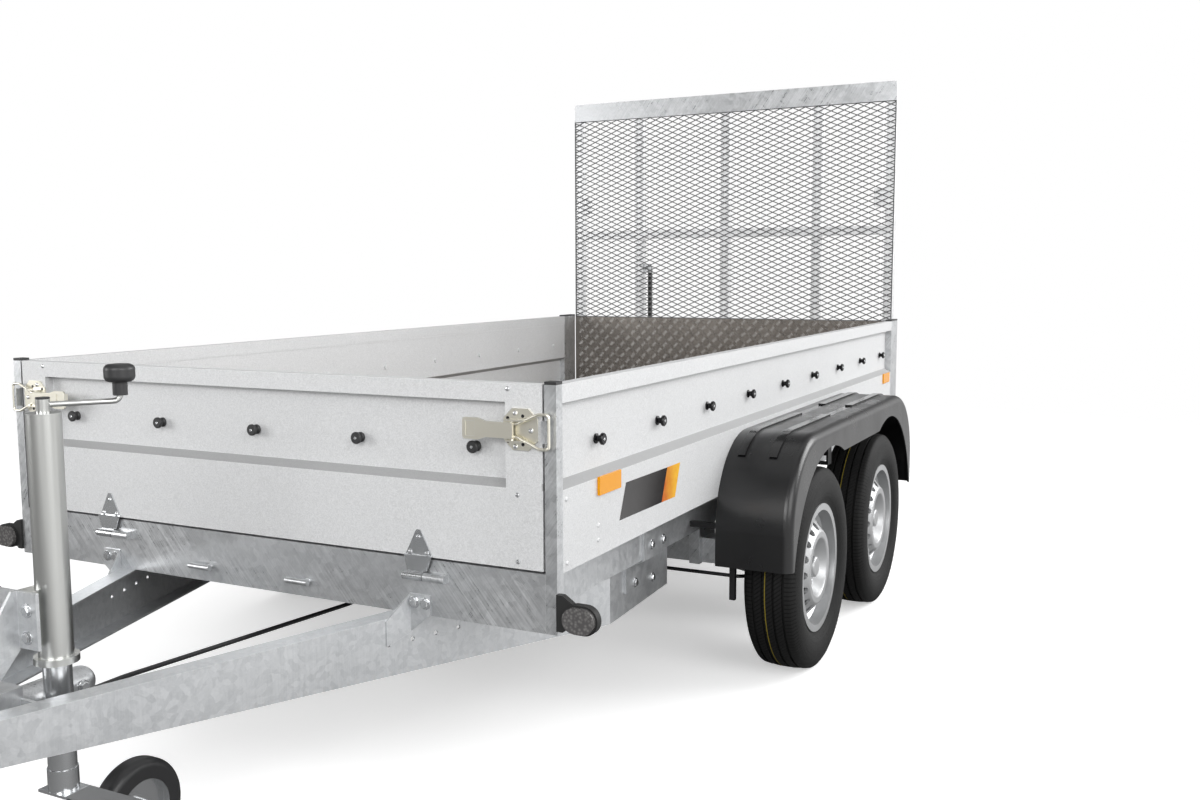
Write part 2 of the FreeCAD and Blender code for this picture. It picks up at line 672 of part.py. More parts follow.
def headboard_latches():
    """Toggle latches: an eight-cornered base, two cheeks, a wide lever and a wire hoop."""
    mid = frame_top + s.toggle_middle
    low = frame_top + s.latch_foot
    high = low + s.latch_tall
    start = s.latch_side
    end = start + s.latch_width
    corner = s.latch_corner
    base = prism("latch_base", "XZ",
                 [(start + corner, low), (end - corner, low), (end, low + corner),
                  (end, high - corner), (end - corner, high), (start + corner, high),
                  (start, high - corner), (start, low + corner)], -s.latch_sheet, s.latch_sheet)
    front = -(s.hoop_ahead + s.hoop_radius + s.toggle_sheet)
    waist = s.toggle_reach + s.toggle_waist_place
    wide = s.toggle_width / 2
    narrow = s.toggle_waist / 2
    lever_shape = [(s.toggle_reach, mid - wide, s.toggle_lip), (waist, mid - wide),
                   (waist + s.toggle_waist_place / 2, mid - narrow),
                   (s.toggle_end, mid - narrow), (s.toggle_end, mid + narrow),
                   (waist + s.toggle_waist_place / 2, mid + narrow), (waist, mid + wide),
                   (s.toggle_reach, mid + wide, s.toggle_lip)]
    panel = [(s.toggle_reach + s.toggle_lip, mid - wide + s.toggle_lip),
             (waist - s.toggle_lip, mid - wide + s.toggle_lip),
             (waist - s.toggle_lip, mid + wide - s.toggle_lip),
             (s.toggle_reach + s.toggle_lip, mid + wide - s.toggle_lip)]
    lever = prism("latch_lever", "XZ", lever_shape, front, s.toggle_sheet)
    dent = prism("latch_lever_panel", "XZ", panel, front, s.toggle_sheet / 3)
    lip = block("latch_lever_lip", (s.toggle_reach, front, mid - wide + s.toggle_lip),
                (s.cheek_sheet, s.toggle_lip + s.toggle_sheet, s.toggle_width - s.toggle_lip * 2))
    pieces = [base, cut("latch_lever_whole", fused("latch_lever_solid", [lever, lip]), [dent])]
    for where, offset in (("upper", s.cheek_half), ("lower", -s.cheek_half - s.cheek_sheet)):
        pieces.append(block("latch_cheek_" + where, (s.hoop_start - s.hoop_bend, front,
                                                     mid + offset),
                            (s.cheek_length, -front, s.cheek_sheet)))
    pin_half = s.cheek_half + s.cheek_sheet
    pieces.append(rod("latch_pin", "z", (s.hoop_start, -s.hoop_ahead, mid - pin_half),
                      s.hoop_radius, pin_half * 2))
    route = [(s.hoop_start, mid + s.hoop_root),
             (s.hoop_start + s.hoop_bend, mid + s.hoop_root, s.hoop_bend),
             (s.catch_side - s.hoop_bend, mid + s.hoop_half, s.hoop_bend),
             (s.hoop_reach, mid + s.hoop_half, s.hoop_round),
             (s.hoop_reach, mid - s.hoop_half, s.hoop_round),
             (s.catch_side - s.hoop_bend, mid - s.hoop_half, s.hoop_bend),
             (s.hoop_start + s.hoop_bend, mid - s.hoop_root, s.hoop_bend),
             (s.hoop_start, mid - s.hoop_root)]
    pieces.append(pipe("latch_hoop", "XZ", -s.hoop_ahead, route, s.hoop_radius))
    pieces_all = both_sides("latch_right", fused("latch_whole", pieces))
    for number in range(-2, 3):
        pieces_all.append(knob("board_knob_%d" % (number + 2), "y",
                               (s.board_knob_pitch * number, s.recess_depth,
                                frame_top + s.knob_height), -1))
    subpart("headboard_latches", pieces_all, apart=True)


# Drawbar
beam_slope = (beam_bend_half - s.beam_tip_half) / (s.beam_bend_place + s.beam_reach)


def beam_outer(place):
    """Half spacing of the beams' outer faces ahead of the bend."""
    return s.beam_tip_half + (place + s.beam_reach) * beam_slope


def beam_side(name, inset):
    """The beam seen from the side, drawn in by an inset at top and bottom."""
    tip_top = s.frame_bottom - s.beam_tip_drop - inset
    corners = [(-s.beam_reach, tip_top - s.beam_tip_height + inset * 2),
               (s.beam_bend_place, s.frame_bottom - s.beam_bend_height + inset),
               (s.beam_end_place, s.frame_bottom - s.beam_tail_height + inset),
               (s.beam_end_place, s.frame_bottom - inset), (ZERO, s.frame_bottom - inset),
               (-s.beam_reach, tip_top)]
    return prism(name, "YZ", corners, ZERO, rail_half)


def beam_plan(name, inset):
    """The beam seen from above, from its outer face inwards."""
    corners = [(s.beam_tip_half - inset, -s.beam_reach), (s.beam_tip_half, -s.beam_reach),
               (beam_bend_half, s.beam_bend_place), (beam_bend_half, s.beam_end_place),
               (beam_bend_half - inset, s.beam_end_place),
               (beam_bend_half - inset, s.beam_bend_place)]
    return prism(name, "XY", corners, ZERO, frame_top)


def drawbar_beams():
    web = shared("beam_web", [beam_side("beam_profile", ZERO),
                              beam_plan("beam_web_plan", s.beam_sheet)])
    rims = cut("beam_rims", beam_side("beam_profile_whole", ZERO),
               [beam_side("beam_profile_core", s.beam_sheet)])
    lips = shared("beam_lips", [rims, beam_plan("beam_lip_plan", s.beam_flange)])
    room = block("housing_room", (-s.housing_half, -s.beam_reach - s.beam_flange, ZERO),
                 (s.housing_half * 2, s.beam_reach, frame_top))
    holes = [rod("web_hole_%d" % number, "x",
                 (ZERO, s.web_hole_pitch * number - s.web_hole_first, s.web_hole_height),
                 s.web_hole_radius, rail_half) for number in range(4)]
    beam = cut("beam_whole", fused("beam_solid", [web, lips]), [room] + holes)
    left = subpart("drawbar_beam_left", [beam])
    opposite("drawbar_beam_right", left)


def drawbar_fittings():
    skin = s.beam_sheet
    fold = beam_outer(ZERO)
    top = s.frame_bottom + s.gusset_height
    fold_foot = s.frame_bottom - s.gusset_fold_foot
    flap = prism("gusset_flap", "XZ", [(fold, fold_foot),
                                       (fold + s.gusset_width,
                                        s.frame_bottom + s.gusset_side_foot),
                                       (fold + s.gusset_width, top), (fold, top)], -skin, skin)
    end = -s.gusset_length
    plan = prism("gusset_plan", "XY", [(beam_outer(end), end), (beam_outer(end) + skin, end),
                                       (fold + skin, ZERO), (fold, ZERO)], ZERO, top)
    side = prism("gusset_side", "YZ", [(ZERO, fold_foot), (ZERO, top),
                                       (end, s.frame_bottom - s.gusset_wing_top),
                                       (end, s.frame_bottom - s.gusset_wing_foot)],
                 ZERO, rail_half)
    gusset = fused("gusset_whole", [flap, shared("gusset_wing", [plan, side])])
    bracket_head = s.frame_bottom + s.bracket_top
    bend = s.frame_bottom - s.bracket_under
    thick = s.bracket_sheet
    corners = [(rail_half, bracket_head), (rail_half + thick, bracket_head),
               (rail_half + thick, bend),
               (beam_bend_half + thick, bend - s.bracket_step),
               (beam_bend_half + thick, s.frame_bottom - s.bracket_bottom),
               (beam_bend_half, s.frame_bottom - s.bracket_bottom),
               (beam_bend_half, bend - s.bracket_step + thick / 2), (rail_half, bend)]
    bracket = prism("joggled_bracket", "XZ", corners, s.bracket_place, s.bracket_length)
    subpart("drawbar_fittings", both_sides("gusset_right", gusset)
            + both_sides("joggled_bracket_right", bracket), apart=True)


def overrun_housing():
    low = s.tube_height - s.housing_tall / 2
    length = housing_front - housing_rear
    shell = block("housing_shell", (-s.housing_half, -housing_front, low),
                  (s.housing_half * 2, length, s.housing_tall))
    bore = rod("housing_bore", "y", (ZERO, -housing_front, s.tube_height),
               s.tube_radius + s.slip_gap, length + s.clamp_plate)
    yoke_half = beam_outer(-housing_rear - s.yoke_depth) - s.beam_sheet
    yoke = block("housing_yoke",
                 (-yoke_half, -housing_rear - s.yoke_depth, s.tube_height - s.yoke_height / 2),
                 (yoke_half * 2, s.yoke_depth, s.yoke_height))
    housing_top = s.tube_height + s.housing_tall / 2
    clamp_top = s.clamp_foot + s.clamp_height
    back = s.clamp_plate / 2 - clamp_place
    plate = block("clamp_plate_whole", (ZERO, back - s.clamp_plate, s.clamp_foot),
                  (s.clamp_side, s.clamp_plate, s.clamp_height))
    cheek = prism("housing_cheek", "YZ",
                  [(back, s.clamp_foot), (back, clamp_top), (back - s.cheek_head, clamp_top),
                   (back - s.cheek_reach, housing_top), (back - s.cheek_reach, s.tube_height),
                   (back - s.cheek_under, s.tube_height), (back - s.cheek_under, housing_top)],
                  s.housing_half, s.cheek_plate)
    housing = fused("housing_solid", [shell, yoke, plate, cheek])
    ring_room = rod("ring_room", "z", (s.jockey_side, -jockey_place,
                                       s.jockey_foot - s.slip_gap),
                    s.ring_radius + s.slip_gap, s.ring_height + s.slip_gap * 2)
    subpart("overrun_housing", [cut("housing_whole", housing, [bore, ring_room])])


def drawtube():
    outline = [(-tube_front, ZERO), (-tube_front, s.tube_radius),
               (-tube_rear, s.tube_radius, s.dome_round), (-tube_rear, ZERO)]
    subpart("drawtube", [turned("drawtube_bar", "y", outline, (ZERO, ZERO, s.tube_height))])


def overrun_gaiter():
    outline = [(-housing_front, s.tube_radius)]
    folds = 6
    for number in range(folds):
        place = -housing_front - s.gaiter_length * number / folds
        outline.append((place, s.gaiter_neck))
        outline.append((place - s.gaiter_length / folds / 2, s.gaiter_radius))
    end = -housing_front - s.gaiter_length
    outline += [(end, s.gaiter_neck), (end, s.tube_radius)]
    subpart("overrun_gaiter", [turned("gaiter_folds", "y", outline,
                                      (ZERO, ZERO, s.tube_height))])


def coupling_head():
    centre = (ZERO, -ball_place, s.tube_height)
    sleeve_rear = housing_front + s.gaiter_length
    sleeve = rod("coupling_sleeve", "y",
                 (ZERO, -sleeve_rear - s.sleeve_length, s.tube_height), s.sleeve_radius,
                 s.sleeve_length)
    neck = block("coupling_neck", (-s.dome_radius, -ball_place, s.tube_height),
                 (s.dome_radius * 2, ball_place - sleeve_rear, s.dome_radius))
    dome = ball("coupling_dome", centre, s.dome_radius)
    skirt = rod("coupling_skirt", "z",
                (ZERO, -ball_place, s.tube_height - s.socket_skirt), s.dome_radius,
                s.socket_skirt)
    handle = block("coupling_handle",
                   (-s.handle_width / 2, -ball_place, s.tube_height + s.handle_lift),
                   (s.handle_width, s.handle_length, s.handle_thickness))
    post = block("coupling_handle_post",
                 (-s.handle_width / 2, -ball_place, s.tube_height),
                 (s.handle_width, s.handle_width, s.handle_lift))
    socket = ball("coupling_socket", centre, s.ball_radius)
    mouth = rod("coupling_mouth", "z", (ZERO, -ball_place, ZERO), s.ball_radius,
                s.tube_height)
    slot = rod("coupling_tube_bore", "y", (ZERO, -tube_front, s.tube_height),
               s.tube_radius, tube_front)
    solid = fused("coupling_solid", [sleeve, neck, dome, skirt, handle, post])
    subpart("coupling_head", [cut("coupling_whole", solid, [socket, mouth, slot])])


def handbrake_lever():
    pivot = (-s.lever_side - s.lever_width, -lever_place, s.tube_height)
    arm = block("lever_arm", (ZERO, ZERO, -s.lever_depth / 2),
                (s.lever_width, s.lever_length, s.lever_depth))
    grip = rod("lever_grip", "y", (s.lever_width / 2, s.lever_length - s.grip_length, ZERO),
               s.grip_radius, s.grip_length)
    lever = fused("lever_tilted", [arm, grip])
    lever.Placement = Placement(Vector(), Rotation(Vector(1, 0, 0), 0))
    bind(lever, "Placement.Rotation.Angle", s.lever_angle)
    lever.setExpression("Placement.Rotation.Axis.x", "1")
    lever.setExpression("Placement.Rotation.Axis.z", "0")
    move(lever, pivot)
    boss = rod("lever_boss", "x", (-s.lever_side - s.lever_width, -lever_place, s.tube_height),
               s.lever_depth / 2, s.lever_side + s.lever_width - s.housing_half)
    subpart("handbrake_lever", [lever, boss])


# Jockey wheel
jockey_axis = (s.jockey_side, -jockey_place)


def ring_piece(name, low, height, outer, inner):
    """An upright ring round the jockey tube's axis."""
    return turned(name, "z", [(low, inner), (low + height, inner), (low + height, outer),
                              (low, outer)], (jockey_axis[0], jockey_axis[1], ZERO))


def jockey_tube():
    inner = s.jockey_radius - s.jockey_wall
    tube = ring_piece("jockey_barrel", s.jockey_foot, s.jockey_top - s.jockey_foot,
                      s.jockey_radius, inner)
    ring = ring_piece("jockey_ring", s.jockey_foot, s.ring_height, s.ring_radius,
                      s.leg_radius + s.slip_gap)
    lid = turned("jockey_lid", "z", [(s.jockey_top, ZERO),
                                     (s.jockey_top, s.jockey_radius),
                                     (s.jockey_top + s.jockey_wall, s.jockey_radius),
                                     (s.jockey_top + s.jockey_wall, ZERO)],
                 (jockey_axis[0], jockey_axis[1], ZERO))
    clamp = block("jockey_clamp",
                  (s.jockey_side - s.clamp_half,
                   -clamp_place + s.clamp_plate / 2, s.clamp_foot),
                  (s.clamp_half, clamp_place - s.clamp_plate / 2 - jockey_place,
                   s.clamp_height))
    room = rod("jockey_clamp_room", "z", (jockey_axis[0], jockey_axis[1], ZERO), inner,
               s.jockey_top)
    subpart("jockey_tube", [tube, ring, lid, cut("jockey_clamp_whole", clamp, [room])])


def jockey_crank():
    foot = s.jockey_top + s.jockey_wall
    boss = rod("crank_boss_post", "z", (jockey_axis[0], jockey_axis[1], foot), s.crank_boss,
               s.crank_rise)
    arm = pipe("crank_arm_bar", "XZ", ZERO, [(ZERO, ZERO), (s.crank_arm, ZERO, s.crank_bend),
                                             (s.crank_arm, s.crank_end)], s.crank_bar)
    neck_foot = s.crank_bar * 2
    neck_top = neck_foot + s.knob_neck_tall
    grip = turned("crank_grip", "z",
                  [(neck_foot, ZERO), (neck_foot, s.knob_neck), (neck_top, s.knob_neck),
                   (neck_top, s.knob_radius, s.knob_soft),
                   (neck_top + s.knob_tall, s.knob_radius, s.knob_soft),
                   (neck_top + s.knob_tall, ZERO)], (s.crank_arm, ZERO, ZERO))
    crank = fused("crank_swung", [arm, grip])
    crank.Placement = Placement(Vector(), Rotation(Vector(0, 0, 1), 0))
    bind(crank, "Placement.Rotation.Angle", s.crank_angle)
    crank.setExpression("Placement.Rotation.Axis.z", "1")
    move(crank, (jockey_axis[0], jockey_axis[1], foot + s.crank_lift))
    subpart("jockey_crank", [boss, crank])


def jockey_leg():
    leg = ring_piece("jockey_inner", s.leg_foot, s.leg_top - s.leg_foot, s.leg_radius,
                     s.leg_radius - s.leg_wall)
    floor = turned("jockey_inner_floor", "z", [(s.leg_foot, ZERO),
                                               (s.leg_foot, s.leg_radius),
                                               (s.leg_foot + s.leg_wall, s.leg_radius),
                                               (s.leg_foot + s.leg_wall, ZERO)],
                   (jockey_axis[0], jockey_axis[1], ZERO))
    subpart("jockey_leg", [leg, floor])


def jockey_fork():
    head_top = s.leg_foot - s.slip_gap
    head = rod("fork_head", "z", (jockey_axis[0], jockey_axis[1], head_top - s.fork_head_tall),
               s.fork_head_radius, s.fork_head_tall)
    inner = s.castor_width / 2 + s.fork_gap
    wheel_y = s.castor_trail - jockey_place
    low = head_top - s.fork_head_tall
    crown = block("fork_crown", (s.jockey_side - inner - s.fork_plate,
                                 -jockey_place - s.fork_head_radius, low - s.fork_plate),
                  ((inner + s.fork_plate) * 2, s.fork_head_radius * 2, s.fork_plate))
    outline = [(-jockey_place - s.fork_head_radius, low),
               (-jockey_place + s.fork_head_radius, low),
               (wheel_y + s.fork_width / 2, s.castor_radius + s.fork_width / 4),
               (wheel_y + s.fork_width / 4, s.castor_radius - s.fork_width / 2),
               (wheel_y - s.fork_width / 2, s.castor_radius - s.fork_width / 2)]
    plates = [prism("fork_plate_%s" % where, "YZ", outline, start, s.fork_plate)
              for where, start in (("left", s.jockey_side + inner),
                                   ("right", s.jockey_side - inner - s.fork_plate))]
    pin = rod("castor_axle", "x", (s.jockey_side - inner - s.fork_plate, wheel_y,
                                   s.castor_radius), s.castor_pin, (inner + s.fork_plate) * 2)
    subpart("jockey_fork", [head, crown, pin] + plates)


def jockey_wheel():
    half = s.castor_width / 2
    bore = s.castor_pin + s.running_gap
    outline = [(-half, bore), (half, bore), (half, s.castor_hub),
               (half / 3, s.castor_hub), (half / 3, s.castor_rim), (half, s.castor_rim),
               (half, s.castor_radius, s.castor_round), (-half, s.castor_radius, s.castor_round),
               (-half, s.castor_rim), (-half / 3, s.castor_rim), (-half / 3, s.castor_hub),
               (-half, s.castor_hub)]
    subpart("jockey_wheel", [turned("castor_section", "x", outline,
                                    (s.jockey_side, s.castor_trail - jockey_place,
                                     s.castor_radius))])


# Road wheels and axles
def tyre_outline():
    """Corners of the tyre's section, as (along, radius) from the wheel's middle plane."""
    bead = s.rim_half - s.rim_lip
    half = s.tyre_half
    belly = (s.wheel_radius + s.rim_edge) / 2
    brow = (s.wheel_radius + belly) / 2
    right = [(bead, s.bead_seat), (bead, s.rim_edge), (half, belly), (half - s.brow_inset, brow),
             (s.tread_half, s.wheel_radius)]
    left = [(-along, radius) for along, radius in reversed(right)]
    inner_top = s.wheel_radius - s.crown_wall
    inside = [(s.tyre_wall - bead, s.bead_seat), (s.tyre_wall - half, belly),
              (s.tyre_wall - s.tread_half, inner_top), (s.tread_half - s.tyre_wall, inner_top),
              (half - s.tyre_wall, belly), (bead - s.tyre_wall, s.bead_seat)]
    return right + left + inside


def rim_outline():
    """Corners of the wheel rim's section."""
    edge, seat, well, skin = s.rim_half, s.bead_seat, s.rim_well, s.rim_sheet
    lip = s.rim_lip
    outside = [(-edge, s.rim_edge), (-edge + lip, s.rim_edge), (-edge + lip, seat),
               (-s.well_half - s.well_run, seat - lip), (-s.well_half, well),
               (s.well_half, well), (s.well_half + s.well_run, seat - lip), (edge - lip, seat),
               (edge - lip, s.rim_edge), (edge, s.rim_edge)]
    inside = [(edge, seat - skin), (s.well_half + s.well_run, seat - lip - skin),
              (s.well_half, well - skin), (-s.well_half, well - skin),
              (-s.well_half - s.well_run, seat - lip - skin), (-edge, seat - skin)]
    return outside + inside


def disc_outline():
    """Corners of the wheel disc's section: hub face, inner cone, crest and vent band."""
    hub_bore = s.spindle_radius + s.running_gap
    skin = s.disc_sheet
    crest = s.crest_place
    seat = s.rim_well - s.rim_sheet
    front = [(s.disc_place + skin, hub_bore), (s.disc_place + skin, s.hub_face_radius),
             (crest, s.crest_radius - s.crest_half, s.crest_round),
             (crest, s.crest_radius + s.crest_half, s.crest_round),
             (s.vent_place + skin, s.vent_inner, s.crest_round),
             (s.well_half + skin, seat)]
    back = [(s.well_half - skin, seat), (s.vent_place - skin, s.vent_inner, s.crest_round),
            (crest - skin, s.crest_radius + s.crest_half - skin, s.crest_round / 2),
            (crest - skin, s.crest_radius - s.crest_half + skin, s.crest_round / 2),
            (s.disc_place, s.hub_face_radius + skin), (s.disc_place, hub_bore)]
    return front + back


def wheel_pieces(name, place):
    at = (s.tyre_middle, place, s.wheel_radius)
    hub_bore = s.spindle_radius + s.running_gap
    disc = turned(name + "_disc_solid", "x", disc_outline(), at)
    holes = []
    for kind, count, circle, radius in (("vent", 16, s.vent_circle, s.vent_radius),
                                        ("stud", 5, s.stud_circle, s.stud_radius)):
        for number in range(count):
            angle = 2 * math.pi * number / count
            cos_share = math.cos(angle)
            sin_share = math.sin(angle)
            holes.append(rod("%s_%s_%d" % (name, kind, number), "x",
                             (s.tyre_middle, place + circle * cos_share,
                              s.wheel_radius + circle * sin_share), radius, s.drum_length))
    cap = [(s.disc_place + s.disc_sheet, ZERO), (s.disc_place + s.disc_sheet, s.cap_radius),
           (s.disc_place + s.cap_reach, s.cap_radius, s.cap_radius / 4),
           (s.disc_place + s.cap_reach, ZERO)]
    back = s.disc_place - s.drum_length
    drum = [(back, s.drum_radius - s.rim_sheet), (back, s.drum_radius),
            (s.disc_place - s.disc_sheet * 2, s.drum_radius),
            (s.disc_place, s.hub_face_radius), (s.disc_place, hub_bore), (back, hub_bore),
            (back, hub_bore + s.disc_sheet), (s.disc_place - s.disc_sheet * 4,
                                              hub_bore + s.disc_sheet),
            (s.disc_place - s.disc_sheet * 4, s.drum_radius - s.rim_sheet)]
    return (turned(name + "_tyre_section", "x", tyre_outline(), at),
            [turned(name + "_rim_section", "x", rim_outline(), at),
             cut(name + "_disc", disc, holes), turned(name + "_cap", "x", cap, at),
             turned(name + "_drum", "x", drum, at)])


def road_wheels():
    for name, place in (("front", s.front_axle_place), ("rear", s.rear_axle_place)):
        tyre, metal = wheel_pieces(name, place)
        left_tyre = subpart("tyre_%s_left" % name, [tyre])
        opposite("tyre_%s_right" % name, left_tyre)
        left_rim = subpart("rim_%s_left" % name, metal)
        opposite("rim_%s_right" % name, left_rim)


def axle(name, place):
    centre = s.wheel_radius + s.axle_rise
    beam_place = place - s.arm_length
    half_square = s.axle_square / 2
    tube = block(name + "_tube", (-s.axle_half, beam_place - half_square, centre - half_square),
                 (s.axle_half * 2, s.axle_square, s.axle_square))
    outline = [(beam_place - s.arm_round, centre + s.arm_round, s.arm_round / 2),
               (beam_place - s.arm_round, centre - s.arm_round, s.arm_round / 2),
               (place - s.arm_eye / 2, s.wheel_radius - s.arm_eye, s.arm_eye / 2),
               (place + s.arm_eye, s.wheel_radius - s.arm_eye, s.arm_eye / 2),
               (place + s.arm_eye, s.wheel_radius + s.arm_eye, s.arm_eye / 2),
               (beam_place + s.arm_round, centre + s.arm_round, s.arm_round / 2)]
    arm = prism(name + "_arm", "YZ", outline, s.axle_half, s.arm_width)
    spindle = rod(name + "_spindle", "x", (s.axle_half, place, s.wheel_radius),
                  s.spindle_radius, s.tyre_middle + s.disc_place - s.axle_half)
    backplate = rod(name + "_backplate", "x", (backplate_side, place, s.wheel_radius),
                    s.backplate_radius, s.backplate_sheet)
    collar = rod(name + "_collar", "x", (s.axle_half, place, s.wheel_radius), s.arm_eye,
                 backplate_side - s.axle_half)
    hanger = block(name + "_hanger", (s.hanger_side, beam_place - s.hanger_half,
                                      centre - half_square),
                   (s.hanger_width, s.hanger_half * 2,
                    s.frame_bottom - centre + half_square))
    end = fused(name + "_end", [arm, spindle, backplate, collar, hanger])
    subpart(name, [tube] + both_sides(name + "_end_right", end))


def brake_linkage():
    """The pull rod from the overrun gear, its sharing bar and a cable to each drum."""
    corners = [(ZERO, -tube_rear), (ZERO, -s.rod_start, s.rod_bend),
               (s.rod_side, s.rod_turn, s.rod_bend), (s.rod_side, s.rod_end)]
    pieces = [pipe("brake_rod_bar", "XY", s.rod_height, corners, s.rod_radius, first="v"),
              block("cable_bar", (s.rod_side - s.bar_half, s.rod_end,
                                  s.cable_height - s.bar_depth / 2),
                    (s.bar_half * 2, s.bar_depth, s.rod_height - s.cable_height + s.bar_depth))]
    start = s.rod_end + s.bar_depth
    side_end = backplate_side - s.cable_radius
    for name, place, share in (("front", s.front_axle_place, 3), ("rear", s.rear_axle_place, 1.5)):
        turn = place - s.arm_length - s.cable_ahead
        for side, sign in (("left", 1), ("right", -1)):
            across = s.rod_side + s.bar_half * sign / share
            corners = [(across, start), (across, turn, s.cable_bend),
                       (side_end * sign, turn, s.cable_hook), (side_end * sign,
                                                               place - s.cable_end)]
            pieces.append(pipe("cable_%s_%s" % (name, side), "XY", s.cable_height, corners,
                               s.cable_radius, first="v"))
    subpart("brake_linkage", pieces, apart=True)


# Fenders
fender_front = s.front_axle_place - s.fender_ahead
fender_rear = s.rear_axle_place + s.fender_behind


def fender_outline(inset):
    round_size = s.fender_round - inset
    return [(fender_front + inset, s.fender_foot),
            (fender_front + inset, s.fender_top - inset, round_size),
            (fender_rear - inset, s.fender_top - inset, round_size),
            (fender_rear - inset, s.fender_foot)]


def softened(body, length, foot, radius):
    """Rounds the edges round a pad's far end, but not the one at its foot."""
    doc.recompute()
    pad = body.Tip
    edges = []
    for number, edge in enumerate(pad.Shape.Edges, 1):
        points = [vertex.Point for vertex in edge.Vertexes]
        across = all(abs(point.x - length.value) < s.slip_gap.value for point in points)
        if across and any(point.z - foot.value > s.slip_gap.value for point in points):
            edges.append("Edge%d" % number)
    fillet = body.newObject("PartDesign::Fillet", body.Name + "_softened")
    fillet.Base = (pad, edges)
    bind(fillet, "Radius", radius)
    return body


def fenders():
    skin = s.fender_wall
    shell = softened(prism("fender_shell", "YZ", fender_outline(ZERO), half_width,
                           s.fender_width), s.fender_width, s.fender_foot, s.fender_soft)
    ribs = [prism("fender_rib_%d" % number, "YZ", fender_outline(-s.rib_rise),
                  half_width + s.rib_place + s.rib_pitch * number, s.rib_width)
            for number in range(2)]
    hollow = softened(prism("fender_hollow", "YZ", fender_outline(skin), half_width,
                            s.fender_width - skin), s.fender_width - skin, s.fender_foot,
                      s.fender_soft - skin)
    saddle_middle = (s.front_axle_place + s.rear_axle_place) / 2
    rib_side = half_width + s.rib_place
    rib_room = [block("rib_saddle", (rib_side, saddle_middle - s.rib_gap / 2, s.fender_top),
                      (s.rib_pitch + s.rib_width, s.rib_gap, s.rib_rise)),
                block("rib_feet", (rib_side, fender_front - s.rib_rise, ZERO),
                      (s.rib_pitch + s.rib_width, fender_rear - fender_front + s.rib_rise * 2,
                       s.rib_foot))]
    ribs = [cut("fender_ribs", fused("fender_ribs_whole", ribs), rib_room)]
    open_end = half_width + s.fender_width - skin * 2
    arches = [rod("arch_" + name, "x", (open_end, place, s.wheel_radius), s.arch_radius,
                  skin * 4)
              for name, place in (("front", s.front_axle_place), ("rear", s.rear_axle_place))]
    gap = block("arch_between", (open_end, s.front_axle_place, s.wheel_radius),
                (skin * 4, s.rear_axle_place - s.front_axle_place,
                 s.skirt_height - s.wheel_radius))
    foot_room = block("arch_foot", (half_width, fender_front + skin, ZERO),
                      (s.fender_width - skin, fender_rear - fender_front - skin * 2,
                       s.wheel_radius))
    fender = cut("fender_whole", fused("fender_solid", [shell] + ribs),
                 [hollow, gap, foot_room] + arches)
    left = subpart("fender_left", [fender])
    opposite("fender_right", left)


def fender_stays():
    square = s.stay_square
    stay_side = half_width + s.stay_out
    level = s.frame_bottom + s.stay_lift
    pieces = []
    for name, place, wall in (("front", s.front_axle_place - s.stay_ahead,
                               fender_front + s.fender_wall),
                              ("rear", s.rear_axle_place + s.stay_ahead,
                               fender_rear - s.fender_wall)):
        across = block(name + "_stay_across", (rail_half, place - square / 2, level),
                       (stay_side + square - rail_half, square, square))
        upright = block(name + "_stay_upright", (stay_side, place - square / 2, s.stay_foot),
                        (square, square, level + s.stay_top - s.stay_foot))
        if name == "front":
            reach = block(name + "_stay_reach", (stay_side, wall, level),
                          (square, place - wall, square))
        else:
            reach = block(name + "_stay_reach", (stay_side, place, level),
                          (square, wall - place, square))
        pieces.append(fused(name + "_stay", [across, upright, reach]))
    centre = (s.front_axle_place + s.rear_axle_place) / 2 - s.stay_width / 2
    flat = frame_top - s.stay_drop - s.stay_flat
    shelf = block("middle_stay_shelf", (rail_half, centre, flat),
                  (half_width + s.fender_width / 2 - rail_half, s.stay_width, s.stay_flat))
    riser = block("middle_stay_riser",
                  (half_width + s.fender_width / 2 - s.stay_flat, centre, flat),
                  (s.stay_flat, s.stay_width, s.fender_top - s.fender_wall - flat))
    pieces.append(fused("middle_stay", [shelf, riser]))
    whole = []
    for number, piece in enumerate(pieces):
        whole += both_sides("stay_right_%d" % number, piece)
    subpart("fender_stays", whole, apart=True)


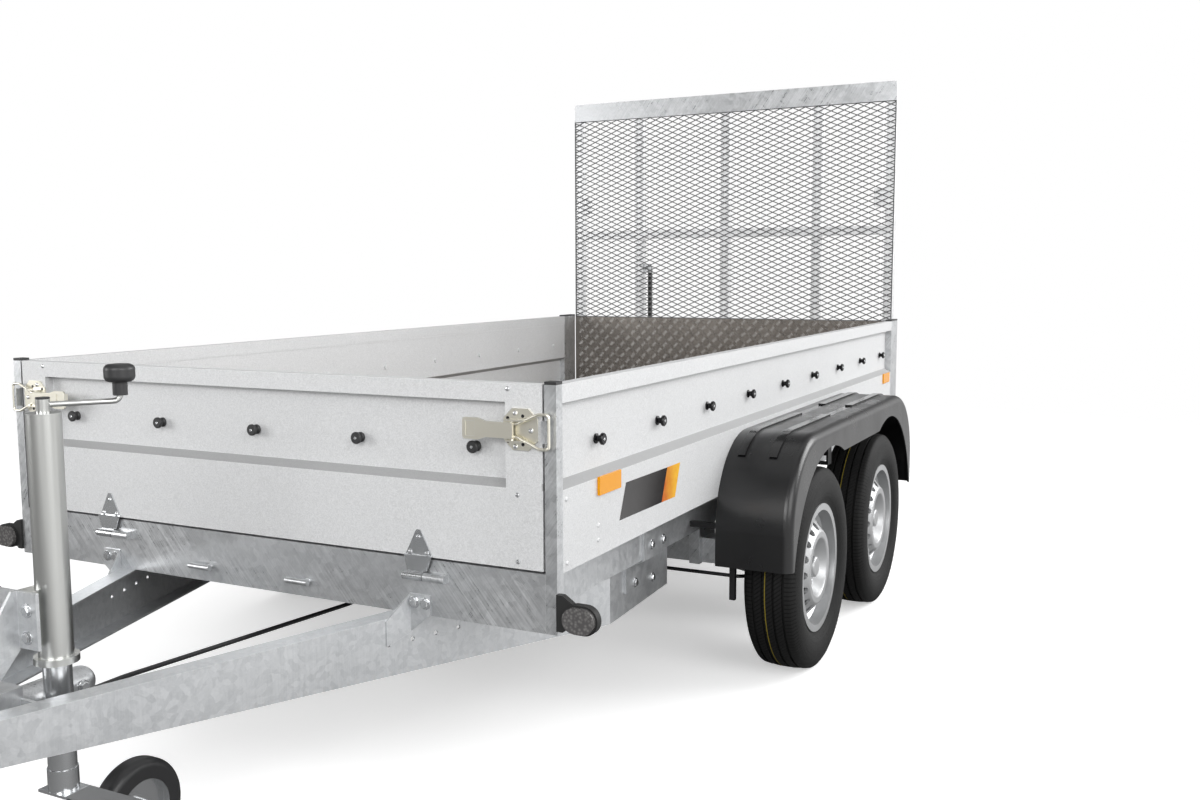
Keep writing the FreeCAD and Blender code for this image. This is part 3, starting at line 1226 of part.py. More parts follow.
# Lamps
def marker_lamps():
    """Oval lamps on rubber arms at the front corners, and flat side reflectors."""
    foot = s.marker_foot
    outer = half_width + s.marker_width
    top = foot + s.marker_body_tall
    arm = prism("marker_arm_plate", "XZ",
                [(half_width, foot), (half_width + s.marker_arm, foot),
                 (half_width + s.marker_arm * 2, foot + s.marker_arm),
                 (half_width + s.marker_neck, top), (half_width + s.marker_arm, foot
                                                     + s.marker_tall, s.marker_arm / 2),
                 (half_width, foot + s.marker_tall)],
                s.marker_back - s.marker_depth / 2 - s.arm_depth / 2, s.arm_depth)
    oval = [(half_width + s.marker_arm, foot, s.marker_round), (outer, foot, s.marker_round),
            (outer, top, s.marker_round), (half_width + s.marker_arm, top, s.marker_round)]
    body = prism("marker_body", "XZ", oval, s.marker_back - s.marker_depth, s.marker_depth)
    near = half_width + s.marker_arm + s.lens_inset
    far = outer - s.lens_inset
    lens_oval = [(near, foot + s.lens_inset, s.lens_round), (far, foot + s.lens_inset,
                                                             s.lens_round),
                 (far, top - s.lens_inset, s.lens_round), (near, top - s.lens_inset,
                                                           s.lens_round)]
    lens = prism("marker_lens", "XZ", lens_oval,
                 s.marker_back - s.marker_depth - s.lens_depth, s.lens_depth)
    pieces = both_sides("marker_lamp_right", fused("marker_lamp", [arm, body, lens]))
    for name, place in (("front", s.reflector_front), ("rear", s.box_length - s.reflector_back)):
        plate = block(name + "_reflector", (half_width, place, frame_top + s.reflector_height),
                      (s.reflector_depth, s.reflector_length, s.reflector_tall))
        pieces += both_sides(name + "_reflector_right", plate)
    subpart("marker_lamps", pieces, apart=True)


def rear_lamps():
    low = s.frame_bottom + s.lamp_lift
    lamp = block("rear_lamp", (s.lamp_inner, s.box_length, low),
                 (s.lamp_width, s.lamp_depth, s.lamp_tall))
    plate = block("number_board", (-s.plate_half, s.box_length, low),
                  (s.plate_half * 2, s.plate_sheet, s.plate_tall))
    subpart("rear_lamps", both_sides("rear_lamp_right", lamp) + [plate], apart=True)


# Tailgate
def gate_frame():
    back = gate_front + s.gate_skin
    depth = s.gate_depth - s.gate_skin
    top = s.gate_bottom + s.gate_height
    bars = []
    for name, start in (("left", gate_half - s.gate_bar), ("right", -gate_half),
                        ("middle", -s.gate_bar / 2), ("near", s.gate_upright),
                        ("far", -s.gate_upright - s.gate_bar)):
        bars.append(block("gate_bar_" + name, (start, back, s.gate_bottom),
                          (s.gate_bar, depth, s.gate_height)))
    for name, low in (("bottom", s.gate_bottom), ("cross", s.gate_bottom + s.gate_cross_height
                                                  - s.gate_bar / 2),
                      ("top", top - s.gate_bar)):
        bars.append(block("gate_bar_" + name, (-gate_half, back, low),
                          (gate_half * 2, depth, s.gate_bar)))
    ears = []
    bores = []
    for side, sign in (("left", 1), ("right", -1)):
        start = s.gate_ear_side * sign - s.gate_ear_half
        ears.append(rod("gate_ear_" + side, "x", (start, gate_pin_place, gate_pin_height),
                        s.gate_eye_radius, s.gate_ear_half * 2))
        ears.append(block("gate_ear_neck_" + side,
                          (start, gate_pin_place - s.gate_eye_radius, gate_pin_height),
                          (s.gate_ear_half * 2, s.gate_eye_radius * 2, s.gate_pin_drop)))
        bores.append(rod("gate_ear_bore_" + side, "x",
                         (start, gate_pin_place, gate_pin_height),
                         s.gate_pin_radius + s.running_gap, s.gate_ear_half * 2))
    subpart("gate_frame", [cut("gate_frame_whole", fused("gate_frame_solid", bars + ears),
                               bores)])


def gate_mesh():
    """Two crossing layers of slanted strands, each held by an edge strip all round."""
    low = s.gate_bottom + s.gate_clad_tall
    tall = s.gate_height - s.gate_cap_tall - s.gate_clad_tall
    layer = s.gate_skin / 2
    lead = s.mesh_strand * 2
    width = gate_half * 2 + lead * 2
    slant = Size("atan(%s / %s)" % (s.mesh_short.text, s.mesh_long.text),
                 math.degrees(math.atan2(s.mesh_short.value, s.mesh_long.value)))
    rising = round(width.value / s.mesh_long.value) + 1
    standing = round(tall.value / s.mesh_short.value)
    strands = []
    for number in range(-rising, standing):
        strand = block("strand_%d" % (number + rising),
                       (-gate_half - lead, gate_front, low + s.mesh_short * number),
                       (width * 1.2, layer, s.mesh_strand))
        strand.Placement = Placement(strand.Placement.Base, Rotation(Vector(0, 1, 0), 0))
        strand.setExpression("Placement.Rotation.Axis.y", "-1")
        bind(strand, "Placement.Rotation.Angle", slant)
        strands.append(strand)
    window = block("mesh_window", (-gate_half, gate_front, low),
                   (gate_half * 2, layer, tall))
    opening = block("mesh_opening", (s.mesh_strand - gate_half, gate_front,
                                     low + s.mesh_strand),
                    (gate_half * 2 - s.mesh_strand * 2, layer, tall - s.mesh_strand * 2))
    inside = shared("mesh_strands", [grouped("mesh_bars", strands), window])
    sheet_front = fused("mesh_front", [cut("mesh_edge", window, [opening]), inside])
    sheet_back = mirrored("mesh_back", sheet_front)
    bind(sheet_back, "Placement.Base.y", layer)
    subpart("gate_mesh", [sheet_front, sheet_back], apart=True)


def gate_cladding():
    low = block("gate_tread", (-gate_half, gate_front, s.gate_bottom),
                (gate_half * 2, s.gate_skin, s.gate_clad_tall))
    head = s.gate_bottom + s.gate_height
    top = prism("gate_cap", "XZ", [(-gate_half, head - s.gate_cap_tall),
                                   (gate_half, head - s.gate_cap_tall),
                                   (gate_half, head, s.gate_cap_round),
                                   (-gate_half, head, s.gate_cap_round)],
                gate_front, s.gate_skin)
    subpart("gate_cladding", [low, top], apart=True)


for build in (side_rails, front_crossmember, rear_crossmember, floor_rungs, load_floor,
              side_panels, corner_posts, tie_knobs, headboard, headboard_hinges,
              headboard_latches, drawbar_beams, drawbar_fittings, overrun_housing, drawtube,
              overrun_gaiter, coupling_head, handbrake_lever, jockey_tube, jockey_crank,
              jockey_leg, jockey_fork, jockey_wheel, road_wheels, brake_linkage,
              fenders, fender_stays, marker_lamps, rear_lamps, gate_frame, gate_mesh,
              gate_cladding):
    build()
axle("axle_front", s.front_axle_place)
axle("axle_rear", s.rear_axle_place)
doc.recompute()

for thing in doc.Objects:
    if "Invalid" in thing.State or "Error" in thing.State:
        raise RuntimeError("not built: " + thing.Label)
for whole in SUBPARTS:
    if whole.Shape.isNull() or not whole.Shape.isValid():
        raise RuntimeError("bad shape: " + whole.Label)
for whole in SUBPARTS:
    whole.Shape.exportStep("parts/%s.step" % whole.Label)
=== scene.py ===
import math
import bpy
from mathutils import Matrix, Vector

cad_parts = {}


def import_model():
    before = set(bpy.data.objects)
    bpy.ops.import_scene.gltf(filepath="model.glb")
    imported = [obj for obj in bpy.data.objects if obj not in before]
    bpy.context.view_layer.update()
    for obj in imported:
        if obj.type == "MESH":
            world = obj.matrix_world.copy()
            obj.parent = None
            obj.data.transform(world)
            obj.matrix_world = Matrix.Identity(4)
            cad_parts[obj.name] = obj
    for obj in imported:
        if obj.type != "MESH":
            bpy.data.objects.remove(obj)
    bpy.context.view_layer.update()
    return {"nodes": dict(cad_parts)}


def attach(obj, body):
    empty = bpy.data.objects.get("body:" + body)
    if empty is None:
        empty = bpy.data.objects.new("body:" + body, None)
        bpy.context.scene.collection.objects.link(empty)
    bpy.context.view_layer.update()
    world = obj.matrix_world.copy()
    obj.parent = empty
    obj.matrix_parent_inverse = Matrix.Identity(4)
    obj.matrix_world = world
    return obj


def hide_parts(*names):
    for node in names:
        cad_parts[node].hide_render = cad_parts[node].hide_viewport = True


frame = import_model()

# Sizes in metres. +X is the trailer's left, +Y its rear, +Z up. Places along Y start at the
# front face of the load box, which stands at FRONT in the frame.
FRONT = -0.8825
SIDES = {"left": 1, "right": -1}
AHEAD = (0.0, -1.0, 0.0)
OUT = {"left": (1.0, 0.0, 0.0), "right": (-1.0, 0.0, 0.0)}

# Load box: outer length and half width, heights, and the folds of its walls
BOX_LENGTH = 3.056
HALF = 0.778
FRAME_TOP = 0.541
BOX_TOP = 0.916
RECESS = 0.024
SHEET = 0.0025
WALL_INSIDE = 0.745
END_PLATE = 0.664
LEDGE = (FRAME_TOP + 0.1662, FRAME_TOP + 0.1808)

# Tie knobs, counted from the middle of each wall
KNOB_HEIGHT = 0.783
KNOB_REACH = 0.021
KNOB_PITCH = 0.327
BOARD_KNOB_PITCH = 0.291
SIDE_KNOBS = range(-4, 5)
BOARD_KNOBS = range(-2, 3)

# Latches, jockey wheel, lamps and tailgate
LATCH_REACH = 0.64
LATCH_FOOT = 0.798
CRANK_KNOB = 0.9175
ROLLER = Vector((0.080, -0.435 + FRONT, 0.100))
ROLLER_RIM = 0.062
LENS_BACK = 0.0085
REFLECTOR_FOOT = 0.6
NUMBER_BOARD = 0.30
GATE_FRONT = 3.062

# Fenders and wheels
RIB_HALF = 0.0112
RIB_MIDDLES = (HALF + 0.039, HALF + 0.126)
RIB_FOOT = 0.640
WHEEL_RADIUS = 0.289
WHEEL_SIDE = 0.894
AXLES = {"front": 1.254, "rear": 1.992}
SIPES = 150.0
SIPE_SLANT = 420.0
MIDDLE_RIBS = 0.043
TREAD_FOOT = 0.2825
SHOULDER_FOOT = 0.266
WALL_RINGS = (0.2605, 0.2500, 0.2120, 0.2010)
RING_HALF = 0.0009
LINE_MIDDLE = -0.0075
LINE_HALF = 0.0013

# Side sticker: corners (back, up) along its foot and its head
DECAL_FOOT = ((0.287, 0.596), (0.519, 0.594), (0.601, 0.593))
DECAL_HEAD = ((0.321, 0.674), (0.553, 0.672), (0.633, 0.672))
DECAL_SKIN = 0.0004

# Fasteners: number of sides, then rings of (radius, height)
FASTENERS = {
    "bolt_head": (6, ((0.0098, 0.0), (0.0098, 0.0058), (0.0082, 0.0072))),
    "wheel_bolt_head": (6, ((0.0088, 0.0), (0.0088, 0.0050), (0.0070, 0.0058))),
    "bolt_washer": (20, ((0.0128, 0.0), (0.0128, 0.0022), (0.0121, 0.0026))),
    "rivet_head": (12, ((0.0052, 0.0), (0.0048, 0.0015), (0.0034, 0.0026), (0.0012, 0.0031))),
    "nut": (6, ((0.008, 0.0), (0.008, 0.005))),
    "knob_screw": (12, ((0.0034, 0.0), (0.0030, 0.0008))),
    "latch_rivet": (14, ((0.0052, 0.0), (0.0050, 0.0016), (0.0034, 0.0030), (0.0014, 0.0034))),
    "latch_hole": (14, ((0.0036, 0.0), (0.0036, 0.0004))),
}

# Where they sit: (across, back, up, turn), mirrored unless on the clamp or the overrun gear
CLAMP_BOLTS = ((0.075, -0.646, 0.551, 0.0), (0.073, -0.646, 0.502, 0.4))
OVERRUN_BOLT = (0.030, -0.501, 0.360, 0.0)
GUSSET_BOLTS = ((0.440, -0.004, 0.447, 0.440), (0.468, -0.004, 0.447, 0.468))
BRACKET_BOLTS = ((0.688, 0.667, 0.453, 0.667), (0.688, 0.740, 0.452, 0.740),
                 (0.638, 0.678, 0.347, 0.3), (0.632, 0.801, 0.331, 0.7))
WALL_RIVETS = ((HALF, 0.040, 0.687, 0.0), (HALF, 0.183, 0.606, 0.0),
               (HALF, 0.183, 0.575, 0.0), (HALF, 0.042, 0.558, 0.0))
BOARD_RIVETS = ((0.670, 0.0, 0.905, 0.0), (0.690, 0.0, 0.695, 0.0), (0.690, 0.0, 0.560, 0.0),
                (0.453, -0.003, 0.587, 0.0), (0.432, -0.003, 0.554, 0.0),
                (0.474, -0.003, 0.554, 0.0))
LATCH_RIVETS = ((0.689, -0.004, 0.858, 0.0), (0.689, -0.004, 0.792, 0.0),
                (0.724, -0.004, 0.825, 0.0))
LATCH_HOLES = ((0.706, -0.004, 0.853, 0.0), (0.706, -0.004, 0.797, 0.0),
               (0.672, -0.004, 0.848, 0.0), (0.672, -0.004, 0.802, 0.0))
WHEEL_BOLTS = 5
WHEEL_BOLT_CIRCLE = 0.050
WHEEL_BOLT_SEAT = 0.031

# Camera, solved from the photograph: pixels, degrees (yaw, pitch, roll) and place
IMAGE_WIDTH = 1200.0
FOCAL_PIXELS = 1171.28
MIDDLE_PIXEL = 569.52
SENSOR = 36.0
CAMERA_ANGLES = (27.5, -6.37, -0.31)
CAMERA_PLACE = (1.83394, -1.97264, 1.13739)

# Lamps: place, target, size and power
LAMPS = {
    "key": ((6.5, -3.5, 3.4), (0.0, 0.0, 0.6), (4.5, 3.5), 265.0),
    "side": ((5.0, 4.0, 3.2), (-0.5, 0.5, 0.6), (5.0, 3.0), 300.0),
    "top": ((0.0, 0.5, 6.5), (0.0, 0.5, 0.0), (7.0, 7.0), 90.0),
    "fill": ((-6.5, -5.5, 2.4), (0.0, 0.0, 0.6), (4.0, 3.0), 230.0),
    "front": ((1.5, -8.0, 3.6), (0.0, 0.0, 0.6), (4.0, 3.0), 300.0),
}
AMBIENT = 0.52


# Node helpers
class Graph:
    """A small writer of shader and geometry nodes."""

    def __init__(self, tree):
        self.tree = tree

    def node(self, kind, settings=(), inputs=()):
        made = self.tree.nodes.new(kind)
        for name, value in dict(settings).items():
            setattr(made, name, value)
        for name, value in dict(inputs).items():
            self.feed(made.inputs[name], value)
        return made

    def feed(self, socket, value):
        if isinstance(value, bpy.types.NodeSocket):
            self.tree.links.new(value, socket)
        else:
            socket.default_value = value

    def math(self, operation, a, b=0.0, clamp=False):
        return self.node("ShaderNodeMath", {"operation": operation, "use_clamp": clamp},
                         {0: a, 1: b}).outputs[0]

    def mix(self, share, a, b):
        """A colour between two colours."""
        made = self.node("ShaderNodeMix", {"data_type": "RGBA"}, {0: share})
        self.feed(made.inputs[6], a)
        self.feed(made.inputs[7], b)
        return made.outputs[2]

    def blend(self, share, a, b):
        """A number between two numbers."""
        made = self.node("ShaderNodeMix", {}, {0: share})
        self.feed(made.inputs[2], a)
        self.feed(made.inputs[3], b)
        return made.outputs[0]

    def span(self, value, low, high, to_low=0.0, to_high=1.0):
        return self.node("ShaderNodeMapRange", {}, {0: value, 1: low, 2: high, 3: to_low,
                                                    4: to_high}).outputs[0]

    def near(self, value, middle, reach):
        """One where a value is within reach of a middle, else zero."""
        gap = self.math("ABSOLUTE", self.math("SUBTRACT", value, middle))
        return self.math("LESS_THAN", gap, reach)

    def noise(self, place, scale, detail=4.0, rough=0.55):
        return self.node("ShaderNodeTexNoise", {}, {"Vector": place, "Scale": scale,
                                                    "Detail": detail,
                                                    "Roughness": rough}).outputs["Fac"]

    def place(self):
        """The place on the piece, as the frame has it."""
        return self.node("ShaderNodeTexCoord").outputs["Object"]

    def parts(self):
        """The X, Y and Z of the place on the piece."""
        return self.node("ShaderNodeSeparateXYZ", {}, {0: self.place()}).outputs


def shade(red, green, blue):
    return (red, green, blue, 1.0)


def group(name, inputs, outputs):
    """A node group whose inputs (name: value) and outputs are all numbers."""
    tree = bpy.data.node_groups.new(name, "ShaderNodeTree")
    for label, value in inputs.items():
        tree.interface.new_socket(label, in_out="INPUT",
                                  socket_type="NodeSocketFloat").default_value = value
    for label in outputs:
        tree.interface.new_socket(label, in_out="OUTPUT", socket_type="NodeSocketFloat")
    g = Graph(tree)
    return tree, g, g.node("NodeGroupInput").outputs, g.node("NodeGroupOutput").inputs


def spangle_group():
    """Crystals of hot-dip zinc: flakes of two sizes, soft clouds and slanting scratches."""
    tree, g, given, result = group(
        "zinc_spangle", {"Scale": 60.0, "Contrast": 0.5, "Cloud": 0.3, "Scratch": 0.3,
                         "Slant": 0.6}, ("Tone", "Roughness", "Bump"))
    scratch_size = (0.0035, 0.0035, 0.16)
    place = g.place()
    warp = g.node("ShaderNodeTexNoise", {}, {"Vector": place, "Scale": 14.0, "Detail": 4.0})
    moved = g.node("ShaderNodeVectorMath", {"operation": "MULTIPLY_ADD"},
                   {0: warp.outputs["Color"], 1: (0.05, 0.05, 0.05), 2: place}).outputs[0]
    large = g.node("ShaderNodeTexVoronoi", {"feature": "SMOOTH_F1"},
                   {"Vector": moved, "Scale": given["Scale"], "Smoothness": 0.2})
    fine = g.node("ShaderNodeTexVoronoi", {},
                  {"Vector": moved, "Scale": g.math("MULTIPLY", given["Scale"], 3.1)})
    flake = g.node("ShaderNodeSeparateColor", {}, {0: large.outputs["Color"]}).outputs[0]
    grain = g.node("ShaderNodeSeparateColor", {}, {0: fine.outputs["Color"]}).outputs[1]
    crystals = g.math("ADD", g.math("MULTIPLY", flake, 0.7), g.math("MULTIPLY", grain, 0.3))
    cloud = g.noise(place, 3.0, 4.0, 0.5)
    tilt = g.node("ShaderNodeCombineXYZ", {}, {1: given["Slant"]})
    slanted = g.node("ShaderNodeMapping", {"vector_type": "TEXTURE"},
                     {"Vector": place, "Rotation": tilt.outputs[0], "Scale": scratch_size})
    lines = g.span(g.noise(slanted.outputs[0], 1.0, 3.0, 0.7), 0.36, 0.64, -0.5, 1.0)
    patch = g.span(g.noise(place, 5.0, 2.0), 0.38, 0.62, 0.15, 1.0)
    scratches = g.math("MULTIPLY", g.math("MULTIPLY", lines, patch), given["Scratch"])
    shine = g.math("MULTIPLY", g.math("SUBTRACT", crystals, 0.5), given["Contrast"])
    clouds = g.math("MULTIPLY", g.math("SUBTRACT", cloud, 0.5), given["Cloud"])
    tone = g.math("ADD", g.math("ADD", shine, clouds), scratches)
    g.feed(result["Tone"], g.math("ADD", tone, 0.5, True))
    g.feed(result["Roughness"],
           g.math("ADD", g.math("MULTIPLY", shine, 0.3), g.math("MULTIPLY", scratches, 0.3)))
    g.feed(result["Bump"], g.math("ADD", cloud, g.math("MULTIPLY", scratches, 0.15)))
    return tree


def grain_group():
    """Fine grain with a few broad clouds, for coats and plastics."""
    tree, g, given, result = group("fine_grain", {"Scale": 900.0, "Cloud": 6.0},
                                   ("Grain", "Cloud"))
    place = g.place()
    g.feed(result["Grain"], g.noise(place, given["Scale"], 2.0))
    g.feed(result["Cloud"], g.noise(place, given["Cloud"], 5.0))
    return tree


def edge_highlight_group():
    """Painted highlight: brighter edges, from the bevel between neighbouring faces."""
    tree, g, given, result = group("painted_edge_highlight", {"Radius": 0.0015}, ("Mask",))
    bevel = g.node("ShaderNodeBevel", {"samples": 4}, {"Radius": given["Radius"]})
    flat = g.node("ShaderNodeNewGeometry").outputs["Normal"]
    dot = g.node("ShaderNodeVectorMath", {"operation": "DOT_PRODUCT"},
                 {0: bevel.outputs[0], 1: flat}).outputs["Value"]
    g.feed(result["Mask"], g.span(dot, 0.995, 0.8))
    return tree


SPANGLE = spangle_group()
GRAIN = grain_group()
EDGE_HIGHLIGHT = edge_highlight_group()


# Finishes
def material(name):
    made = bpy.data.materials.new(name)
    made.use_nodes = True
    made.node_tree.nodes.clear()
    g = Graph(made.node_tree)
    surface = g.node("ShaderNodeBsdfPrincipled")
    out = g.node("ShaderNodeOutputMaterial")
    g.tree.links.new(surface.outputs[0], out.inputs[0])
    return made, g, surface.inputs


def reopen(made):
    """The node writer and the shader's sockets of a material made before."""
    surface = [node for node in made.node_tree.nodes if node.type == "BSDF_PRINCIPLED"][0]
    return Graph(made.node_tree), surface.inputs


def held(socket):
    """What a socket has now: the output linked to it, or its own value."""
    return socket.links[0].from_socket if socket.links else socket.default_value


def use(g, tree, **values):
    made = g.node("ShaderNodeGroup", {"node_tree": tree})
    for label, value in values.items():
        made.inputs[label].default_value = value
    return made.outputs


def bump(g, surface, height, strength, distance):
    made = g.node("ShaderNodeBump", {}, {"Height": height, "Strength": strength,
                                         "Distance": distance})
    g.feed(surface["Normal"], made.outputs[0])


def zinc(name, dark, light, rough, metallic=0.85, scale=60.0, contrast=0.4, cloud=0.5,
         scratch=0.3, depth=0.0004, slant=0.6):
    """Zinc-coated or bare metal: spangled tone between two shades, with a painted highlight on
    the edges.
    """
    made, g, surface = material(name)
    crystals = use(g, SPANGLE, Scale=scale, Contrast=contrast, Cloud=cloud, Scratch=scratch,
                   Slant=slant)
    edge_highlight = use(g, EDGE_HIGHLIGHT, Radius=0.002)
    colour = g.mix(crystals["Tone"], shade(*dark), shade(*light))
    # Painted highlight: the edges are mixed halfway towards pale grey.
    g.feed(surface["Base Color"], g.mix(g.math("MULTIPLY", edge_highlight["Mask"], 0.5), colour,
                                        shade(0.86, 0.87, 0.88)))
    surface["Metallic"].default_value = metallic
    g.feed(surface["Roughness"], g.math("ADD", crystals["Roughness"], rough))
    bump(g, surface, crystals["Bump"], 0.25, depth)
    return made


def wall_finish():
    """Fine-grained wall sheet, with painted shade on the ledge below the recess."""
    made = zinc("wall_sheet", (0.51, 0.515, 0.52), (0.70, 0.705, 0.71), 0.55, metallic=0.3,
                scale=480.0, contrast=0.9, cloud=0.2, scratch=0.0, depth=0.0001)
    g, surface = reopen(made)
    parts = g.parts()
    aside = g.math("ABSOLUTE", parts[0])
    recessed = g.math("ADD", g.math("LESS_THAN", aside, END_PLATE),
                      g.math("GREATER_THAN", aside, WALL_INSIDE))
    # Painted shade: the ledge band is darkened on the side walls and on the headboard between
    # its end plates.
    ledge = g.math("MULTIPLY", g.math("GREATER_THAN", parts[2], LEDGE[0]),
                   g.math("LESS_THAN", parts[2], LEDGE[1]))
    ledge = g.math("MULTIPLY", ledge, recessed)
    colour = surface["Base Color"]
    g.feed(colour, g.mix(g.math("MULTIPLY", ledge, 0.55), held(colour),
                         shade(0.18, 0.18, 0.18)))
    return made


def coat(name, colour, rough, metallic=0.0, grain=900.0, strength=0.2, shine=0.5):
    """Paint, plastic or rubber with grain and slight clouds."""
    made, g, surface = material(name)
    texture = use(g, GRAIN, Scale=grain)
    dark = [part * 0.88 for part in colour]
    light = [min(1.0, part * 1.12 + 0.0015) for part in colour]
    g.feed(surface["Base Color"], g.mix(texture["Cloud"], shade(*dark), shade(*light)))
    surface["Metallic"].default_value = metallic
    surface["Specular IOR Level"].default_value = shine
    g.feed(surface["Roughness"], g.span(texture["Cloud"], 0.25, 0.75, rough - 0.06,
                                        rough + 0.06))
    bump(g, surface, texture["Grain"], strength, 0.0002)
    return made


galvanised = zinc("galvanised_steel", (0.34, 0.35, 0.36), (0.66, 0.67, 0.68), 0.34,
                  scratch=0.35)
frame_zinc = zinc("galvanised_beam", (0.40, 0.415, 0.43), (0.72, 0.73, 0.74), 0.36,
                  metallic=0.70, scale=80.0, scratch=0.10, depth=0.0006, slant=0.0)
# Its strong clouds are partly the zinc's own mottle and partly a painted reflection.
cross_zinc = zinc("galvanised_crossmember", (0.35, 0.36, 0.37), (0.80, 0.81, 0.82), 0.32,
                  scale=70.0, contrast=0.25, cloud=0.7, slant=-0.7)
wall_zinc = wall_finish()
bright_zinc = zinc("bright_zinc", (0.52, 0.53, 0.54), (0.68, 0.69, 0.70), 0.25, metallic=0.95,
                   contrast=0.0, cloud=0.3, scratch=0.0, depth=0.0001)
satin_tube = zinc("satin_tube", (0.48, 0.485, 0.47), (0.58, 0.585, 0.57), 0.30, metallic=1.0,
                  contrast=0.0, cloud=0.3, scratch=0.10, depth=0.0, slant=0.0)
gate_zinc = zinc("gate_bars", (0.46, 0.465, 0.47), (0.86, 0.865, 0.87), 0.40, metallic=0.6,
                 scratch=0.35)
mesh_wire = zinc("mesh_wire", (0.010, 0.010, 0.011), (0.036, 0.037, 0.039), 0.42, metallic=0.2,
                 scale=200.0, contrast=0.8)
yellow_zinc = zinc("yellow_zinc", (0.78, 0.75, 0.64), (0.90, 0.87, 0.77), 0.30, metallic=0.95,
                   contrast=0.0, scratch=0.0, depth=0.0001)
tread_zinc = zinc("tread_zinc", (0.44, 0.42, 0.40), (0.62, 0.60, 0.57), 0.30, scratch=0.0)
wheel_silver = coat("wheel_silver", (0.40, 0.405, 0.41), 0.44, metallic=0.75, grain=700.0,
                    strength=0.1)
black_paint = coat("black_paint", (0.010, 0.010, 0.011), 0.35, shine=0.35)
black_plastic = coat("black_plastic", (0.009, 0.009, 0.010), 0.30, grain=1100.0, strength=0.3,
                     shine=0.6)
rubber = coat("black_rubber", (0.010, 0.010, 0.010), 0.6, grain=500.0, strength=0.3,
              shine=0.25)
knob_black = coat("knob_black", (0.003, 0.003, 0.004), 0.14, strength=0.05, shine=0.25)


def rear_lamp_finish():
    """Red lenses, and the blank white number board between them."""
    made = coat("red_lens", (0.50, 0.02, 0.02), 0.18, grain=300.0)
    g, surface = reopen(made)
    board = g.near(g.parts()[0], 0.0, NUMBER_BOARD)
    colour = surface["Base Color"]
    g.feed(colour, g.mix(board, held(colour), shade(0.70, 0.70, 0.70)))
    return made


def fender_finish():
    """Grained black plastic with smooth, glossy ribs."""
    made = coat("fender_plastic", (0.006, 0.006, 0.0065), 0.30, grain=1100.0, strength=0.3,
                shine=0.45)
    g, surface = reopen(made)
    parts = g.parts()
    out = g.math("ABSOLUTE", parts[0])
    ribs = [g.near(out, middle, RIB_HALF) for middle in RIB_MIDDLES]
    rib = g.math("MULTIPLY", g.math("MAXIMUM", ribs[0], ribs[1]),
                 g.math("GREATER_THAN", parts[2], RIB_FOOT))
    rough = surface["Roughness"]
    g.feed(rough, g.blend(rib, held(rough), 0.13))
    return made


def marker_finish():
    """Clear lens ahead of a black rubber body, and amber reflectors higher up."""
    made, g, surface = material("marker_lamp")
    parts = g.parts()
    optics = g.node("ShaderNodeTexVoronoi", {}, {"Vector": g.place(), "Scale": 150.0})
    facet = g.span(optics.outputs["Distance"], 0.0, 0.6)
    mirror = g.mix(facet, shade(0.17, 0.165, 0.16), shade(0.075, 0.072, 0.072))
    lens = g.math("LESS_THAN", parts[1], FRONT - LENS_BACK)
    amber = g.math("GREATER_THAN", parts[2], REFLECTOR_FOOT)
    lamp_colour = g.mix(lens, shade(0.015, 0.015, 0.015), mirror)
    g.feed(surface["Base Color"], g.mix(amber, lamp_colour, shade(0.74, 0.30, 0.0)))
    surface["Specular IOR Level"].default_value = 0.3
    smooth = g.math("MULTIPLY", g.math("MAXIMUM", lens, amber), 0.45)
    g.feed(surface["Roughness"], g.math("SUBTRACT", 0.6, smooth))
    bump(g, surface, use(g, GRAIN, Scale=260.0)["Grain"], 0.3, 0.0004)
    return made


def blackened(name, base, mask_of):
    """A copy of a metal finish that is black plastic where its mask is one."""
    made = base.copy()
    made.name = name
    g, surface = reopen(made)
    mask = mask_of(g, g.parts())
    colour, rough, metal = (surface[label] for label in ("Base Color", "Roughness", "Metallic"))
    g.feed(colour, g.mix(mask, held(colour), shade(0.02, 0.02, 0.021)))
    g.feed(rough, g.blend(mask, held(rough), 0.42))
    g.feed(metal, g.blend(mask, held(metal), 0.0))
    return made


def capped(name, base, height):
    """A metal finish with a black cap or knob above a height."""
    return blackened(name, base, lambda g, parts: g.math("GREATER_THAN", parts[2], height))


def knobbed(base):
    """A metal finish with black knobs between and below the latch levers."""
    def mask_of(g, parts):
        between = g.near(parts[0], 0.0, LATCH_REACH)
        return g.math("MULTIPLY", between, g.math("LESS_THAN", parts[2], LATCH_FOOT))
    return blackened("yellow_zinc_knobbed", base, mask_of)


def squared(g, a, b):
    """The square of a distance, from its two parts."""
    return g.math("ADD", g.math("MULTIPLY", a, a), g.math("MULTIPLY", b, b))


